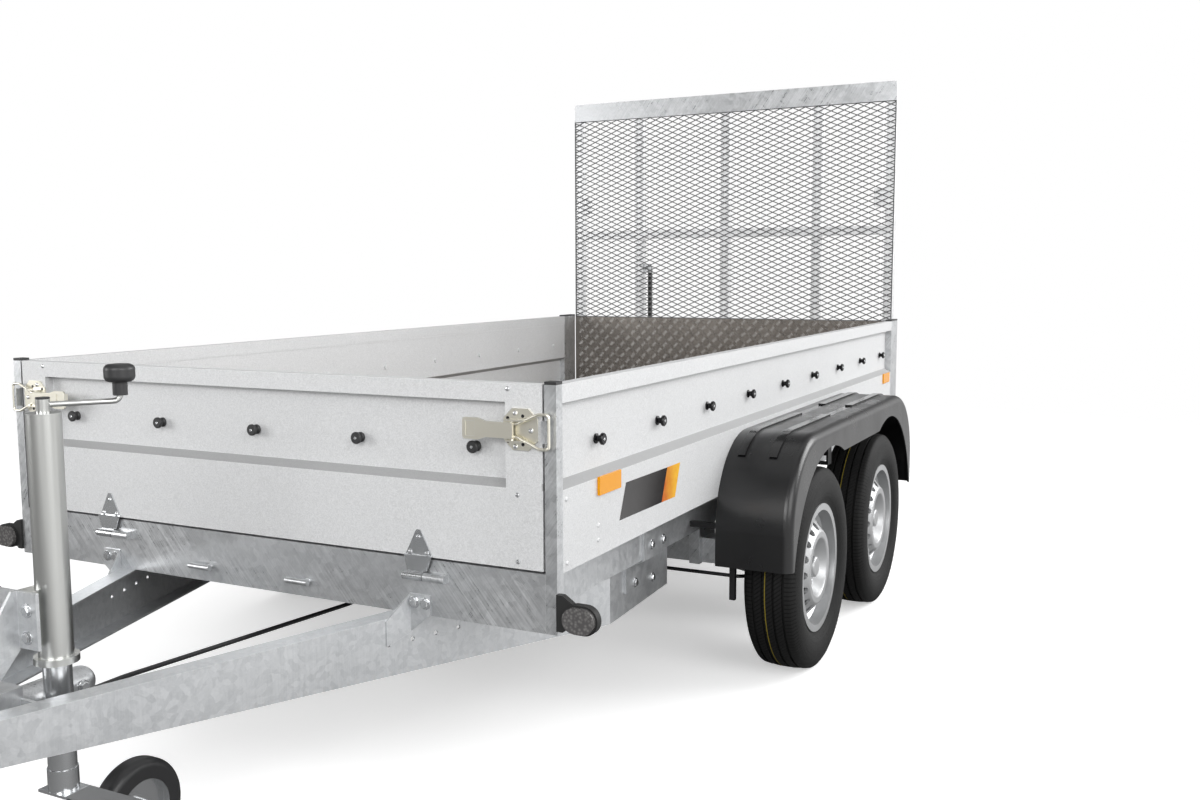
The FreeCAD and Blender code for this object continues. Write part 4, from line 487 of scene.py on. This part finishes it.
def tyre_finish():
    """Black rubber with sipes across the ribs, painted shade in the sipes, rings on the wall
    and a yellow tread line.
    """
    made, g, surface = material("tyre_tread")
    parts = g.parts()
    rear = g.math("GREATER_THAN", parts[1], (AXLES["front"] + AXLES["rear"]) / 2 + FRONT)
    centre = g.math("ADD", g.math("MULTIPLY", rear, AXLES["rear"] - AXLES["front"]),
                    AXLES["front"] + FRONT)
    back = g.math("SUBTRACT", parts[1], centre)
    rise = g.math("SUBTRACT", parts[2], WHEEL_RADIUS)
    angle = g.math("ARCTAN2", rise, back)
    radius = g.math("SQRT", squared(g, back, rise))
    across = g.math("SUBTRACT", g.math("ABSOLUTE", parts[0]), WHEEL_SIDE)
    edge = g.math("GREATER_THAN", g.math("ABSOLUTE", across), MIDDLE_RIBS)
    slant = g.math("MULTIPLY", g.math("MULTIPLY", across, SIPE_SLANT),
                   g.math("SUBTRACT", 1.0, edge))
    wave = g.math("SINE", g.math("ADD", g.math("MULTIPLY", angle, SIPES), slant))
    tread = g.math("GREATER_THAN", radius, TREAD_FOOT)
    shoulder = g.math("MULTIPLY", edge, g.math("GREATER_THAN", radius, SHOULDER_FOOT))
    sipe = g.math("MULTIPLY", g.math("GREATER_THAN", wave, 0.7),
                  g.math("MAXIMUM", tread, shoulder))
    rings = [g.near(radius, ring, RING_HALF) for ring in WALL_RINGS]
    ring = g.math("ADD", g.math("ADD", rings[0], rings[1]), g.math("ADD", rings[2], rings[3]))
    line = g.math("MULTIPLY", g.near(across, LINE_MIDDLE, LINE_HALF), tread)
    texture = use(g, GRAIN, Scale=700.0)
    wear_and_sipe_shade = g.mix(texture["Cloud"], shade(0.008, 0.008, 0.008), shade(0.015, 0.015, 0.015))
    # Painted shade: the sipes are darkened to near black.
    wear_and_sipe_shade = g.mix(sipe, wear_and_sipe_shade, shade(0.002, 0.002, 0.002))
    g.feed(surface["Base Color"], g.mix(line, wear_and_sipe_shade, shade(0.22, 0.17, 0.02)))
    surface["Roughness"].default_value = 0.6
    surface["Specular IOR Level"].default_value = 0.14
    height = g.math("ADD", g.math("MULTIPLY", sipe, -1.0),
                    g.math("ADD", g.math("MULTIPLY", ring, 0.5),
                           g.math("MULTIPLY", texture["Grain"], 0.15)))
    bump(g, surface, height, 0.9, 0.004)
    return made


def roller_finish():
    """Black rubber tread on a zinc-plated roller wheel."""
    def mask_of(g, parts):
        far = squared(g, g.math("SUBTRACT", parts[1], ROLLER.y),
                      g.math("SUBTRACT", parts[2], ROLLER.z))
        return g.math("GREATER_THAN", far, ROLLER_RIM * ROLLER_RIM)
    return blackened("roller_rubber", bright_zinc, mask_of)


def cladding_finish():
    """Scratched zinc on the gate's top plate, darkened as painted shade, brownish tread plate
    below.
    """
    made = galvanised.copy()
    made.name = "gate_plate"
    g, surface = reopen(made)
    low = g.math("LESS_THAN", g.parts()[2], BOX_TOP)
    brown = g.mix(use(g, GRAIN, Scale=300.0)["Cloud"], shade(0.15, 0.135, 0.12),
                  shade(0.24, 0.22, 0.20))
    colour = surface["Base Color"]
    # Painted shade: the top plate is the galvanised finish made 12% darker.
    plain = g.mix(0.12, held(colour), shade(0.0, 0.0, 0.0))
    g.feed(colour, g.mix(low, plain, brown))
    return made


def board_finish():
    """Brown sealed floor board with a fine pressed net."""
    made, g, surface = material("floor_net")
    parts = g.parts()
    waves = [g.math("ABSOLUTE", g.math("SINE", g.math("MULTIPLY", part, 900.0)))
             for part in (parts[0], parts[1])]
    net = g.math("LESS_THAN", g.math("MINIMUM", waves[0], waves[1]), 0.25)
    colour = g.mix(use(g, GRAIN, Scale=300.0)["Cloud"], shade(0.070, 0.050, 0.036),
                   shade(0.130, 0.098, 0.072))
    g.feed(surface["Base Color"], g.mix(g.math("MULTIPLY", net, 0.4), colour,
                                        shade(0.20, 0.16, 0.12)))
    surface["Roughness"].default_value = 0.5
    surface["Specular IOR Level"].default_value = 0.25
    bump(g, surface, net, 0.3, 0.0004)
    return made


def decal_finish():
    """Gold foil that turns to orange towards the front."""
    made, g, surface = material("decal_gold")
    along = g.span(g.parts()[1], DECAL_FOOT[1][0] + FRONT, DECAL_HEAD[2][0] + FRONT)
    grain = use(g, GRAIN, Scale=40.0)["Grain"]
    wavy = g.math("ADD", along, g.math("MULTIPLY", g.math("SUBTRACT", grain, 0.5), 0.5))
    g.feed(surface["Base Color"], g.mix(wavy, shade(0.50, 0.09, 0.01),
                                        shade(0.88, 0.52, 0.05)))
    surface["Roughness"].default_value = 0.25
    return made


decal_dark = coat("decal_dark", (0.012, 0.010, 0.010), 0.2, strength=0.05, shine=0.4)
decal_gold = decal_finish()
tyre_tread = tyre_finish()
FINISH = {
    capped("galvanised_capped", galvanised, BOX_TOP): ["corner_posts"],
    galvanised: ["floor_rungs", "rear_crossmember", "axle_front", "axle_rear",
                 "drawtube"],
    gate_zinc: ["gate_frame"],
    mesh_wire: ["gate_mesh"],
    cladding_finish(): ["gate_cladding"],
    frame_zinc: ["side_rail_left", "side_rail_right", "drawbar_beam_left",
                 "drawbar_beam_right", "drawbar_fittings", "overrun_housing"],
    cross_zinc: ["front_crossmember"],
    wall_zinc: ["side_panel_left", "side_panel_right", "headboard"],
    bright_zinc: ["coupling_head", "jockey_leg", "jockey_fork", "headboard_hinges"],
    satin_tube: ["jockey_tube"],
    capped("satin_tube_knobbed", satin_tube, CRANK_KNOB): ["jockey_crank"],
    knobbed(yellow_zinc): ["headboard_latches"],
    wheel_silver: ["rim_front_left", "rim_front_right", "rim_rear_left", "rim_rear_right"],
    black_paint: ["handbrake_lever", "fender_stays"],
    fender_finish(): ["fender_left", "fender_right"],
    black_plastic: ["brake_linkage"],
    rubber: ["overrun_gaiter"],
    knob_black: ["tie_knobs"],
    roller_finish(): ["jockey_wheel"],
    tyre_tread: ["tyre_front_left", "tyre_front_right", "tyre_rear_left", "tyre_rear_right"],
    board_finish(): ["load_floor"],
    marker_finish(): ["marker_lamps"],
    rear_lamp_finish(): ["rear_lamps"],
}
for finish, names in FINISH.items():
    for name in names:
        mesh = frame["nodes"][name].data
        mesh.materials.clear()
        mesh.materials.append(finish)


# Dressing
def at(x, y, z):
    """A place in the frame; y is measured from the front face of the load box."""
    return Vector((x, y + FRONT, z))


def mesh_object(name, places, faces, finish=None):
    mesh = bpy.data.meshes.new(name)
    mesh.from_pydata(places, [], faces)
    mesh.update()
    if finish:
        mesh.materials.append(finish)
    made = bpy.data.objects.new(name, mesh)
    bpy.context.collection.objects.link(made)
    return made


def lathed(name, sides, rings, finish=None, closed=False, centre=None):
    """Rings of (radius, height), turned round Z, or round the X axis through a centre."""
    places = []
    for radius, height in rings:
        for number in range(sides):
            angle = 2.0 * math.pi * number / sides
            across, up = radius * math.cos(angle), radius * math.sin(angle)
            if centre is None:
                places.append((across, up, height))
            else:
                places.append((centre.x + height, centre.y + across, centre.z + up))
    count = len(rings)
    faces = []
    for ring in range(count if closed else count - 1):
        after = (ring + 1) % count
        for number in range(sides):
            beside = (number + 1) % sides
            faces.append((ring * sides + number, ring * sides + beside,
                          after * sides + beside, after * sides + number))
    if not closed:
        faces.append(tuple(reversed(range(sides))))
        faces.append(tuple(range((count - 1) * sides, count * sides)))
    return mesh_object(name, places, faces, finish)


def planter():
    """Realized pieces on the points of a mesh, turned to its facing and turn attributes."""
    tree = bpy.data.node_groups.new("planter", "GeometryNodeTree")
    for label, kind in (("Geometry", "NodeSocketGeometry"), ("Piece", "NodeSocketObject"),
                        ("Finish", "NodeSocketMaterial")):
        tree.interface.new_socket(label, in_out="INPUT", socket_type=kind)
    tree.interface.new_socket("Geometry", in_out="OUTPUT", socket_type="NodeSocketGeometry")
    g = Graph(tree)
    entry = g.node("NodeGroupInput").outputs
    leaving = g.node("NodeGroupOutput").inputs
    piece = g.node("GeometryNodeObjectInfo", {}, {"Object": entry["Piece"]})
    facing = g.node("GeometryNodeInputNamedAttribute", {"data_type": "FLOAT_VECTOR"},
                    {"Name": "facing"})
    turn = g.node("GeometryNodeInputNamedAttribute", {"data_type": "FLOAT"}, {"Name": "turn"})
    spin = g.node("ShaderNodeCombineXYZ", {}, {2: turn.outputs[0]})
    aligned = g.node("FunctionNodeAlignRotationToVector", {"axis": "Z"},
                     {"Vector": facing.outputs[0]})
    turned = g.node("FunctionNodeRotateRotation", {"rotation_space": "LOCAL"},
                    {0: aligned.outputs[0], 1: spin.outputs[0]})
    placed = g.node("GeometryNodeInstanceOnPoints", {},
                    {"Points": entry["Geometry"], "Instance": piece.outputs["Geometry"],
                     "Rotation": turned.outputs[0]})
    real = g.node("GeometryNodeRealizeInstances", {}, {"Geometry": placed.outputs[0]})
    dressed = g.node("GeometryNodeSetMaterial", {}, {"Geometry": real.outputs[0],
                                                     "Material": entry["Finish"]})
    g.feed(leaving[0], dressed.outputs[0])
    return tree


PLANTER = planter()


def planted(name, body, finish, piece, spots):
    """Copies of a piece at spots (place, facing, turn), as one plain mesh on a body."""
    points = mesh_object(name + "_points", [place for place, facing, turn in spots], [])
    facings = points.data.attributes.new("facing", "FLOAT_VECTOR", "POINT")
    for number, spot in enumerate(spots):
        facings.data[number].vector = spot[1]
    turns = points.data.attributes.new("turn", "FLOAT", "POINT")
    for number, spot in enumerate(spots):
        turns.data[number].value = spot[2]
    modifier = points.modifiers.new("planter", "NODES")
    modifier.node_group = PLANTER
    sockets = {item.name: item.identifier for item in PLANTER.interface.items_tree
               if item.in_out == "INPUT"}
    modifier[sockets["Piece"]] = piece
    modifier[sockets["Finish"]] = finish
    bpy.context.view_layer.update()
    graph = bpy.context.evaluated_depsgraph_get()
    mesh = bpy.data.meshes.new_from_object(points.evaluated_get(graph), depsgraph=graph)
    made = bpy.data.objects.new(name, mesh)
    bpy.context.collection.objects.link(made)
    bpy.data.objects.remove(points)
    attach(made, body)


def fastened(name, body, finish, kind, spots):
    """Copies of one kind of fastener at spots."""
    sides, rings = FASTENERS[kind]
    piece = lathed(kind, sides, rings)
    planted(name, body, finish, piece, spots)
    bpy.data.objects.remove(piece)


def facing_ahead(places, sign):
    return [(at(x * sign, y, z), AHEAD, turn) for x, y, z, turn in places]


def facing_out(places, side):
    return [(at(x * SIDES[side], y, z), OUT[side], turn) for x, y, z, turn in places]


def both_ahead(places):
    return [spot for sign in SIDES.values() for spot in facing_ahead(places, sign)]


def side_knob_places(across, sign):
    return [at(across * sign, BOX_LENGTH / 2 + KNOB_PITCH * number, KNOB_HEIGHT)
            for number in SIDE_KNOBS]


def bolts():
    """Hexagon heads on the gussets, brackets, clamp, overrun gear and wheels."""
    spots = facing_ahead(CLAMP_BOLTS, 1) + facing_out([OVERRUN_BOLT], "left")
    for side, sign in SIDES.items():
        spots += facing_ahead(GUSSET_BOLTS, sign) + facing_out(BRACKET_BOLTS, side)
    fastened("chassis_bolts", "chassis", bright_zinc, "bolt_head", spots)
    fastened("chassis_washers", "chassis", bright_zinc, "bolt_washer", spots)
    for axle, y in AXLES.items():
        for side in SIDES:
            ring = []
            for number in range(WHEEL_BOLTS):
                angle = 2.0 * math.pi * number / WHEEL_BOLTS
                ring.append((WHEEL_SIDE + WHEEL_BOLT_SEAT,
                             y + WHEEL_BOLT_CIRCLE * math.cos(angle),
                             WHEEL_RADIUS + WHEEL_BOLT_CIRCLE * math.sin(angle), angle))
            fastened("wheel_bolts_%s_%s" % (axle, side), "wheel_%s_%s" % (axle, side),
                     bright_zinc, "wheel_bolt_head", facing_out(ring, side))


def rivets():
    """Round heads on the walls, headboard and hinge leaves, and nuts behind the knobs."""
    walls = []
    nuts = []
    for side, sign in SIDES.items():
        walls += facing_out(WALL_RIVETS, side)
        inwards = tuple(-part for part in OUT[side])
        nuts += [(place, inwards, number) for place, number
                 in zip(side_knob_places(HALF - RECESS - SHEET, sign), SIDE_KNOBS)]
    fastened("wall_rivets", "chassis", wall_zinc, "rivet_head", walls)
    fastened("knob_nuts", "chassis", wall_zinc, "nut", nuts)
    fastened("board_rivets", "headboard", bright_zinc, "rivet_head", both_ahead(BOARD_RIVETS))


def knob_screws():
    """A bright screw end at the middle of each tie knob."""
    tips = [(place, OUT[side], 0.0) for side, sign in SIDES.items()
            for place in side_knob_places(HALF - RECESS + KNOB_REACH, sign)]
    fastened("side_knob_screws", "chassis", bright_zinc, "knob_screw", tips)
    tips = [(at(BOARD_KNOB_PITCH * number, RECESS - KNOB_REACH, KNOB_HEIGHT), AHEAD, 0.0)
            for number in BOARD_KNOBS]
    fastened("board_knob_screws", "headboard", bright_zinc, "knob_screw", tips)


def latch_plates():
    """Rivets and punched holes on the base plates of the toggle latches."""
    fastened("latch_rivets", "headboard", bright_zinc, "latch_rivet", both_ahead(LATCH_RIVETS))
    fastened("latch_holes", "headboard", black_paint, "latch_hole", both_ahead(LATCH_HOLES))


def tread_bars():
    """Pressed bars in groups of five, turned crosswise from group to group."""
    length, width, rise, pitch, cell = 0.011, 0.0014, 0.0012, 0.0050, 0.0272
    columns, rows, foot, first_row, flat = 54, 14, 0.527, 0.55, 0.6
    places = []
    faces = []
    for number in range(-2, 3):
        low = len(places)
        middle = number * pitch
        places += [(-length, middle, 0.0), (0.0, middle - width, 0.0), (length, middle, 0.0),
                   (0.0, middle + width, 0.0), (-length * flat, middle, rise),
                   (length * flat, middle, rise)]
        faces += [(low, low + 1, low + 4), (low + 1, low + 5, low + 4),
                  (low + 1, low + 2, low + 5), (low + 2, low + 3, low + 5),
                  (low + 3, low + 4, low + 5), (low + 3, low, low + 4),
                  (low, low + 3, low + 2, low + 1)]
    five_bars = mesh_object("tread_group", places, faces)
    spots = []
    for column in range(columns):
        for row in range(rows):
            crosswise = math.pi / 4.0 + math.pi / 2.0 * ((row + column) % 2)
            spots.append((at((column - (columns - 1) / 2) * cell, GATE_FRONT,
                             foot + (row + first_row) * cell), AHEAD, crosswise))
    planted("tread_bars", "tailgate", tread_zinc, five_bars, spots)
    bpy.data.objects.remove(five_bars)


def box_piece(name, body, finish, low, high):
    x, y, z = zip(low, high)
    places = [at(a, b, c) for a in x for b in y for c in z]
    faces = [(0, 1, 3, 2), (4, 6, 7, 5), (0, 4, 5, 1), (2, 3, 7, 6), (0, 2, 6, 4), (1, 5, 7, 3)]
    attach(mesh_object(name, places, faces, finish), body)


def decals():
    """Blank stripe stickers low on both walls: dark, then gold."""
    for side, sign in SIDES.items():
        for number, (label, finish) in enumerate((("dark", decal_dark), ("gold", decal_gold))):
            corners = (DECAL_FOOT[number], DECAL_FOOT[number + 1], DECAL_HEAD[number + 1],
                       DECAL_HEAD[number])
            places = [at((HALF + lift) * sign, y, z) for lift in (0.0, DECAL_SKIN)
                      for y, z in corners]
            faces = [(0, 3, 2, 1), (4, 5, 6, 7), (0, 1, 5, 4), (1, 2, 6, 5), (2, 3, 7, 6),
                     (3, 0, 4, 7)]
            if sign < 0:
                faces = [tuple(reversed(face)) for face in faces]
            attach(mesh_object("decal_%s_%s" % (label, side), places, faces, finish),
                    "chassis")


def gate_trim():
    """A black gas strut behind the mesh and small plates on the edge bars."""
    box_piece("strut_body", "tailgate", black_paint, (-0.378, GATE_FRONT + 0.014, 0.700),
              (-0.362, GATE_FRONT + 0.030, 1.146))
    box_piece("strut_root", "tailgate", galvanised, (-0.402, GATE_FRONT + 0.010, 1.120),
              (-0.360, GATE_FRONT + 0.014, 1.160))
    for side, sign in SIDES.items():
        inner, outer = sorted((0.665 * sign, 0.720 * sign))
        box_piece("gate_plate_" + side, "tailgate", gate_zinc,
                  (inner, GATE_FRONT + 0.006, 1.392), (outer, GATE_FRONT + 0.010, 1.470))


def tyre_rings():
    """The tyre's section with rounded walls and four grooves, as (radius, along)."""
    half, rim_edge, seat, bead, thick = 0.0775, 0.1825, 0.168, 0.059, 0.009
    belly, wall_height, wall_bulge, tread, crown = 0.236, 0.0475, 0.0250, 0.058, 0.275
    groove, deep, taper, outer_rib = 0.0035, 0.006, 0.7, 0.2870
    wall = []
    for number in range(9):
        angle = math.radians(-62.0 + 122.0 * number / 8)
        wall.append((belly + wall_height * math.sin(angle),
                     half - wall_bulge * (1.0 - math.cos(angle))))
    shoulder = [(0.2770, 0.0655), (0.2815, 0.0622), (0.2842, 0.0585), (0.2855, 0.053)]
    ribs = []
    for place, crowned in ((0.041, outer_rib), (0.015, WHEEL_RADIUS), (-0.015, WHEEL_RADIUS),
                           (-0.041, outer_rib)):
        ribs += [(crowned, place + groove), (crowned - deep, place + groove * taper),
                 (crowned - deep, place - groove * taper), (crowned, place - groove)]
    right = [(seat, bead), (rim_edge, bead)] + wall + shoulder
    left = [(radius, -along) for radius, along in reversed(right)]
    inside = [(seat, thick - bead), (belly, thick - half), (crown, thick - tread),
              (crown, tread - thick), (belly, half - thick), (seat, bead - thick)]
    return right + ribs + left + inside


def tyres():
    """Treaded tyres in place of the plain ones."""
    rings = tyre_rings()
    for axle, y in AXLES.items():
        for side, sign in SIDES.items():
            name = "%s_%s" % (axle, side)
            made = lathed("treaded_tyre_" + name, 120, rings, tyre_tread, True,
                          at(WHEEL_SIDE * sign, y, WHEEL_RADIUS))
            for face in made.data.polygons:
                face.use_smooth = True
            made.data.set_sharp_from_angle(angle=math.radians(35.0))
            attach(made, "wheel_" + name)
            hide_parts("tyre_" + name)


bolts()
rivets()
knob_screws()
latch_plates()
tread_bars()
decals()
gate_trim()
tyres()


# Stage
def stage():
    """A pale floor that keeps the shadow near the trailer and turns white further out."""
    bpy.ops.mesh.primitive_plane_add(size=60.0, location=(0.0, 0.0, 0.0))
    floor = bpy.context.object
    floor.name = "studio_floor"
    made, g, surface = material("studio_floor")
    place = g.place()
    reach = g.node("ShaderNodeVectorMath", {"operation": "LENGTH"}, {0: place}).outputs["Value"]
    path = g.node("ShaderNodeLightPath").outputs
    seen = path["Is Camera Ray"]
    near = g.mix(seen, shade(0.22, 0.22, 0.22), shade(0.84, 0.84, 0.84))
    g.feed(surface["Base Color"], g.mix(g.span(reach, 2.5, 7.0), near, shade(0.0, 0.0, 0.0)))
    beside = g.math("MAXIMUM", g.span(g.parts()[0], 0.85, 1.8, 0.0, 0.8),
                    g.span(reach, 3.0, 7.0, 0.0, 0.4))
    mirrored = g.math("MULTIPLY", path["Is Glossy Ray"], beside)
    shown = g.math("MULTIPLY", seen, g.span(reach, 2.5, 7.0, 0.42, 1.0))
    g.feed(surface["Emission Strength"], g.math("ADD", shown, mirrored))
    surface["Emission Color"].default_value = shade(1.0, 1.0, 1.0)
    surface["Roughness"].default_value = 0.9
    surface["Specular IOR Level"].default_value = 0.0
    floor.data.materials.append(made)


def world():
    """An even grey room, white behind the trailer, with soft panels for the metal to show."""
    made = bpy.data.worlds.new("studio")
    bpy.context.scene.world = made
    made.use_nodes = True
    made.node_tree.nodes.clear()
    g = Graph(made.node_tree)
    path = g.node("ShaderNodeLightPath").outputs
    way = g.node("ShaderNodeTexCoord").outputs["Generated"]
    parts = g.node("ShaderNodeSeparateXYZ", {}, {0: way}).outputs
    right = g.span(parts[0], -0.45, 0.6, 0.38, 1.45)
    above = g.span(parts[2], 0.15, 0.9, 1.0, 0.40)
    round_about = g.math("ARCTAN2", parts[1], parts[0])
    turning = g.math("ADD", g.math("MULTIPLY", round_about, 5.0), 2.39)
    panels = g.span(g.math("SINE", turning), -0.5, 0.5, 0.45, 1.0)
    room = g.math("MULTIPLY", g.math("MULTIPLY", right, above), panels)
    strength = g.math("ADD", g.math("MULTIPLY", path["Is Glossy Ray"],
                                    g.math("SUBTRACT", room, AMBIENT)), AMBIENT)
    light = g.node("ShaderNodeBackground", {}, {0: shade(1.0, 1.0, 1.0), 1: strength})
    shown = g.node("ShaderNodeBackground", {}, {0: shade(1.0, 1.0, 1.0), 1: 1.0})
    mixed = g.node("ShaderNodeMixShader", {}, {0: path["Is Camera Ray"],
                                               1: light.outputs[0], 2: shown.outputs[0]})
    g.node("ShaderNodeOutputWorld", {}, {0: mixed.outputs[0]})


def lamp(name, place, target, size, power):
    data = bpy.data.lights.new(name, "AREA")
    data.energy = power
    data.shape = "RECTANGLE"
    data.size, data.size_y = size
    made = bpy.data.objects.new(name, data)
    bpy.context.collection.objects.link(made)
    made.location = place
    made.rotation_euler = (Vector(target) - Vector(place)).to_track_quat("-Z", "Y").to_euler()


def camera():
    """The photograph's camera."""
    data = bpy.data.cameras.new("camera")
    made = bpy.data.objects.new("camera", data)
    bpy.context.collection.objects.link(made)
    data.sensor_width = SENSOR
    data.lens = SENSOR * FOCAL_PIXELS / IMAGE_WIDTH
    data.shift_x = (IMAGE_WIDTH / 2 - MIDDLE_PIXEL) / IMAGE_WIDTH
    yaw, pitch, roll = (math.radians(part) for part in CAMERA_ANGLES)
    ahead = Vector((-math.sin(yaw) * math.cos(pitch), math.cos(yaw) * math.cos(pitch),
                    math.sin(pitch)))
    right = Vector((math.cos(yaw), math.sin(yaw), 0.0))
    up = right.cross(ahead)
    tilted = right * math.cos(roll) + up * math.sin(roll)
    upright = up * math.cos(roll) - right * math.sin(roll)
    turn = Matrix((tilted, upright, -ahead)).transposed().to_4x4()
    made.matrix_world = Matrix.Translation(at(*CAMERA_PLACE)) @ turn
    bpy.context.scene.camera = made


stage()
world()
for name, values in LAMPS.items():
    lamp(name, *values)
camera()

bpy.context.scene.view_settings.view_transform = "Standard"
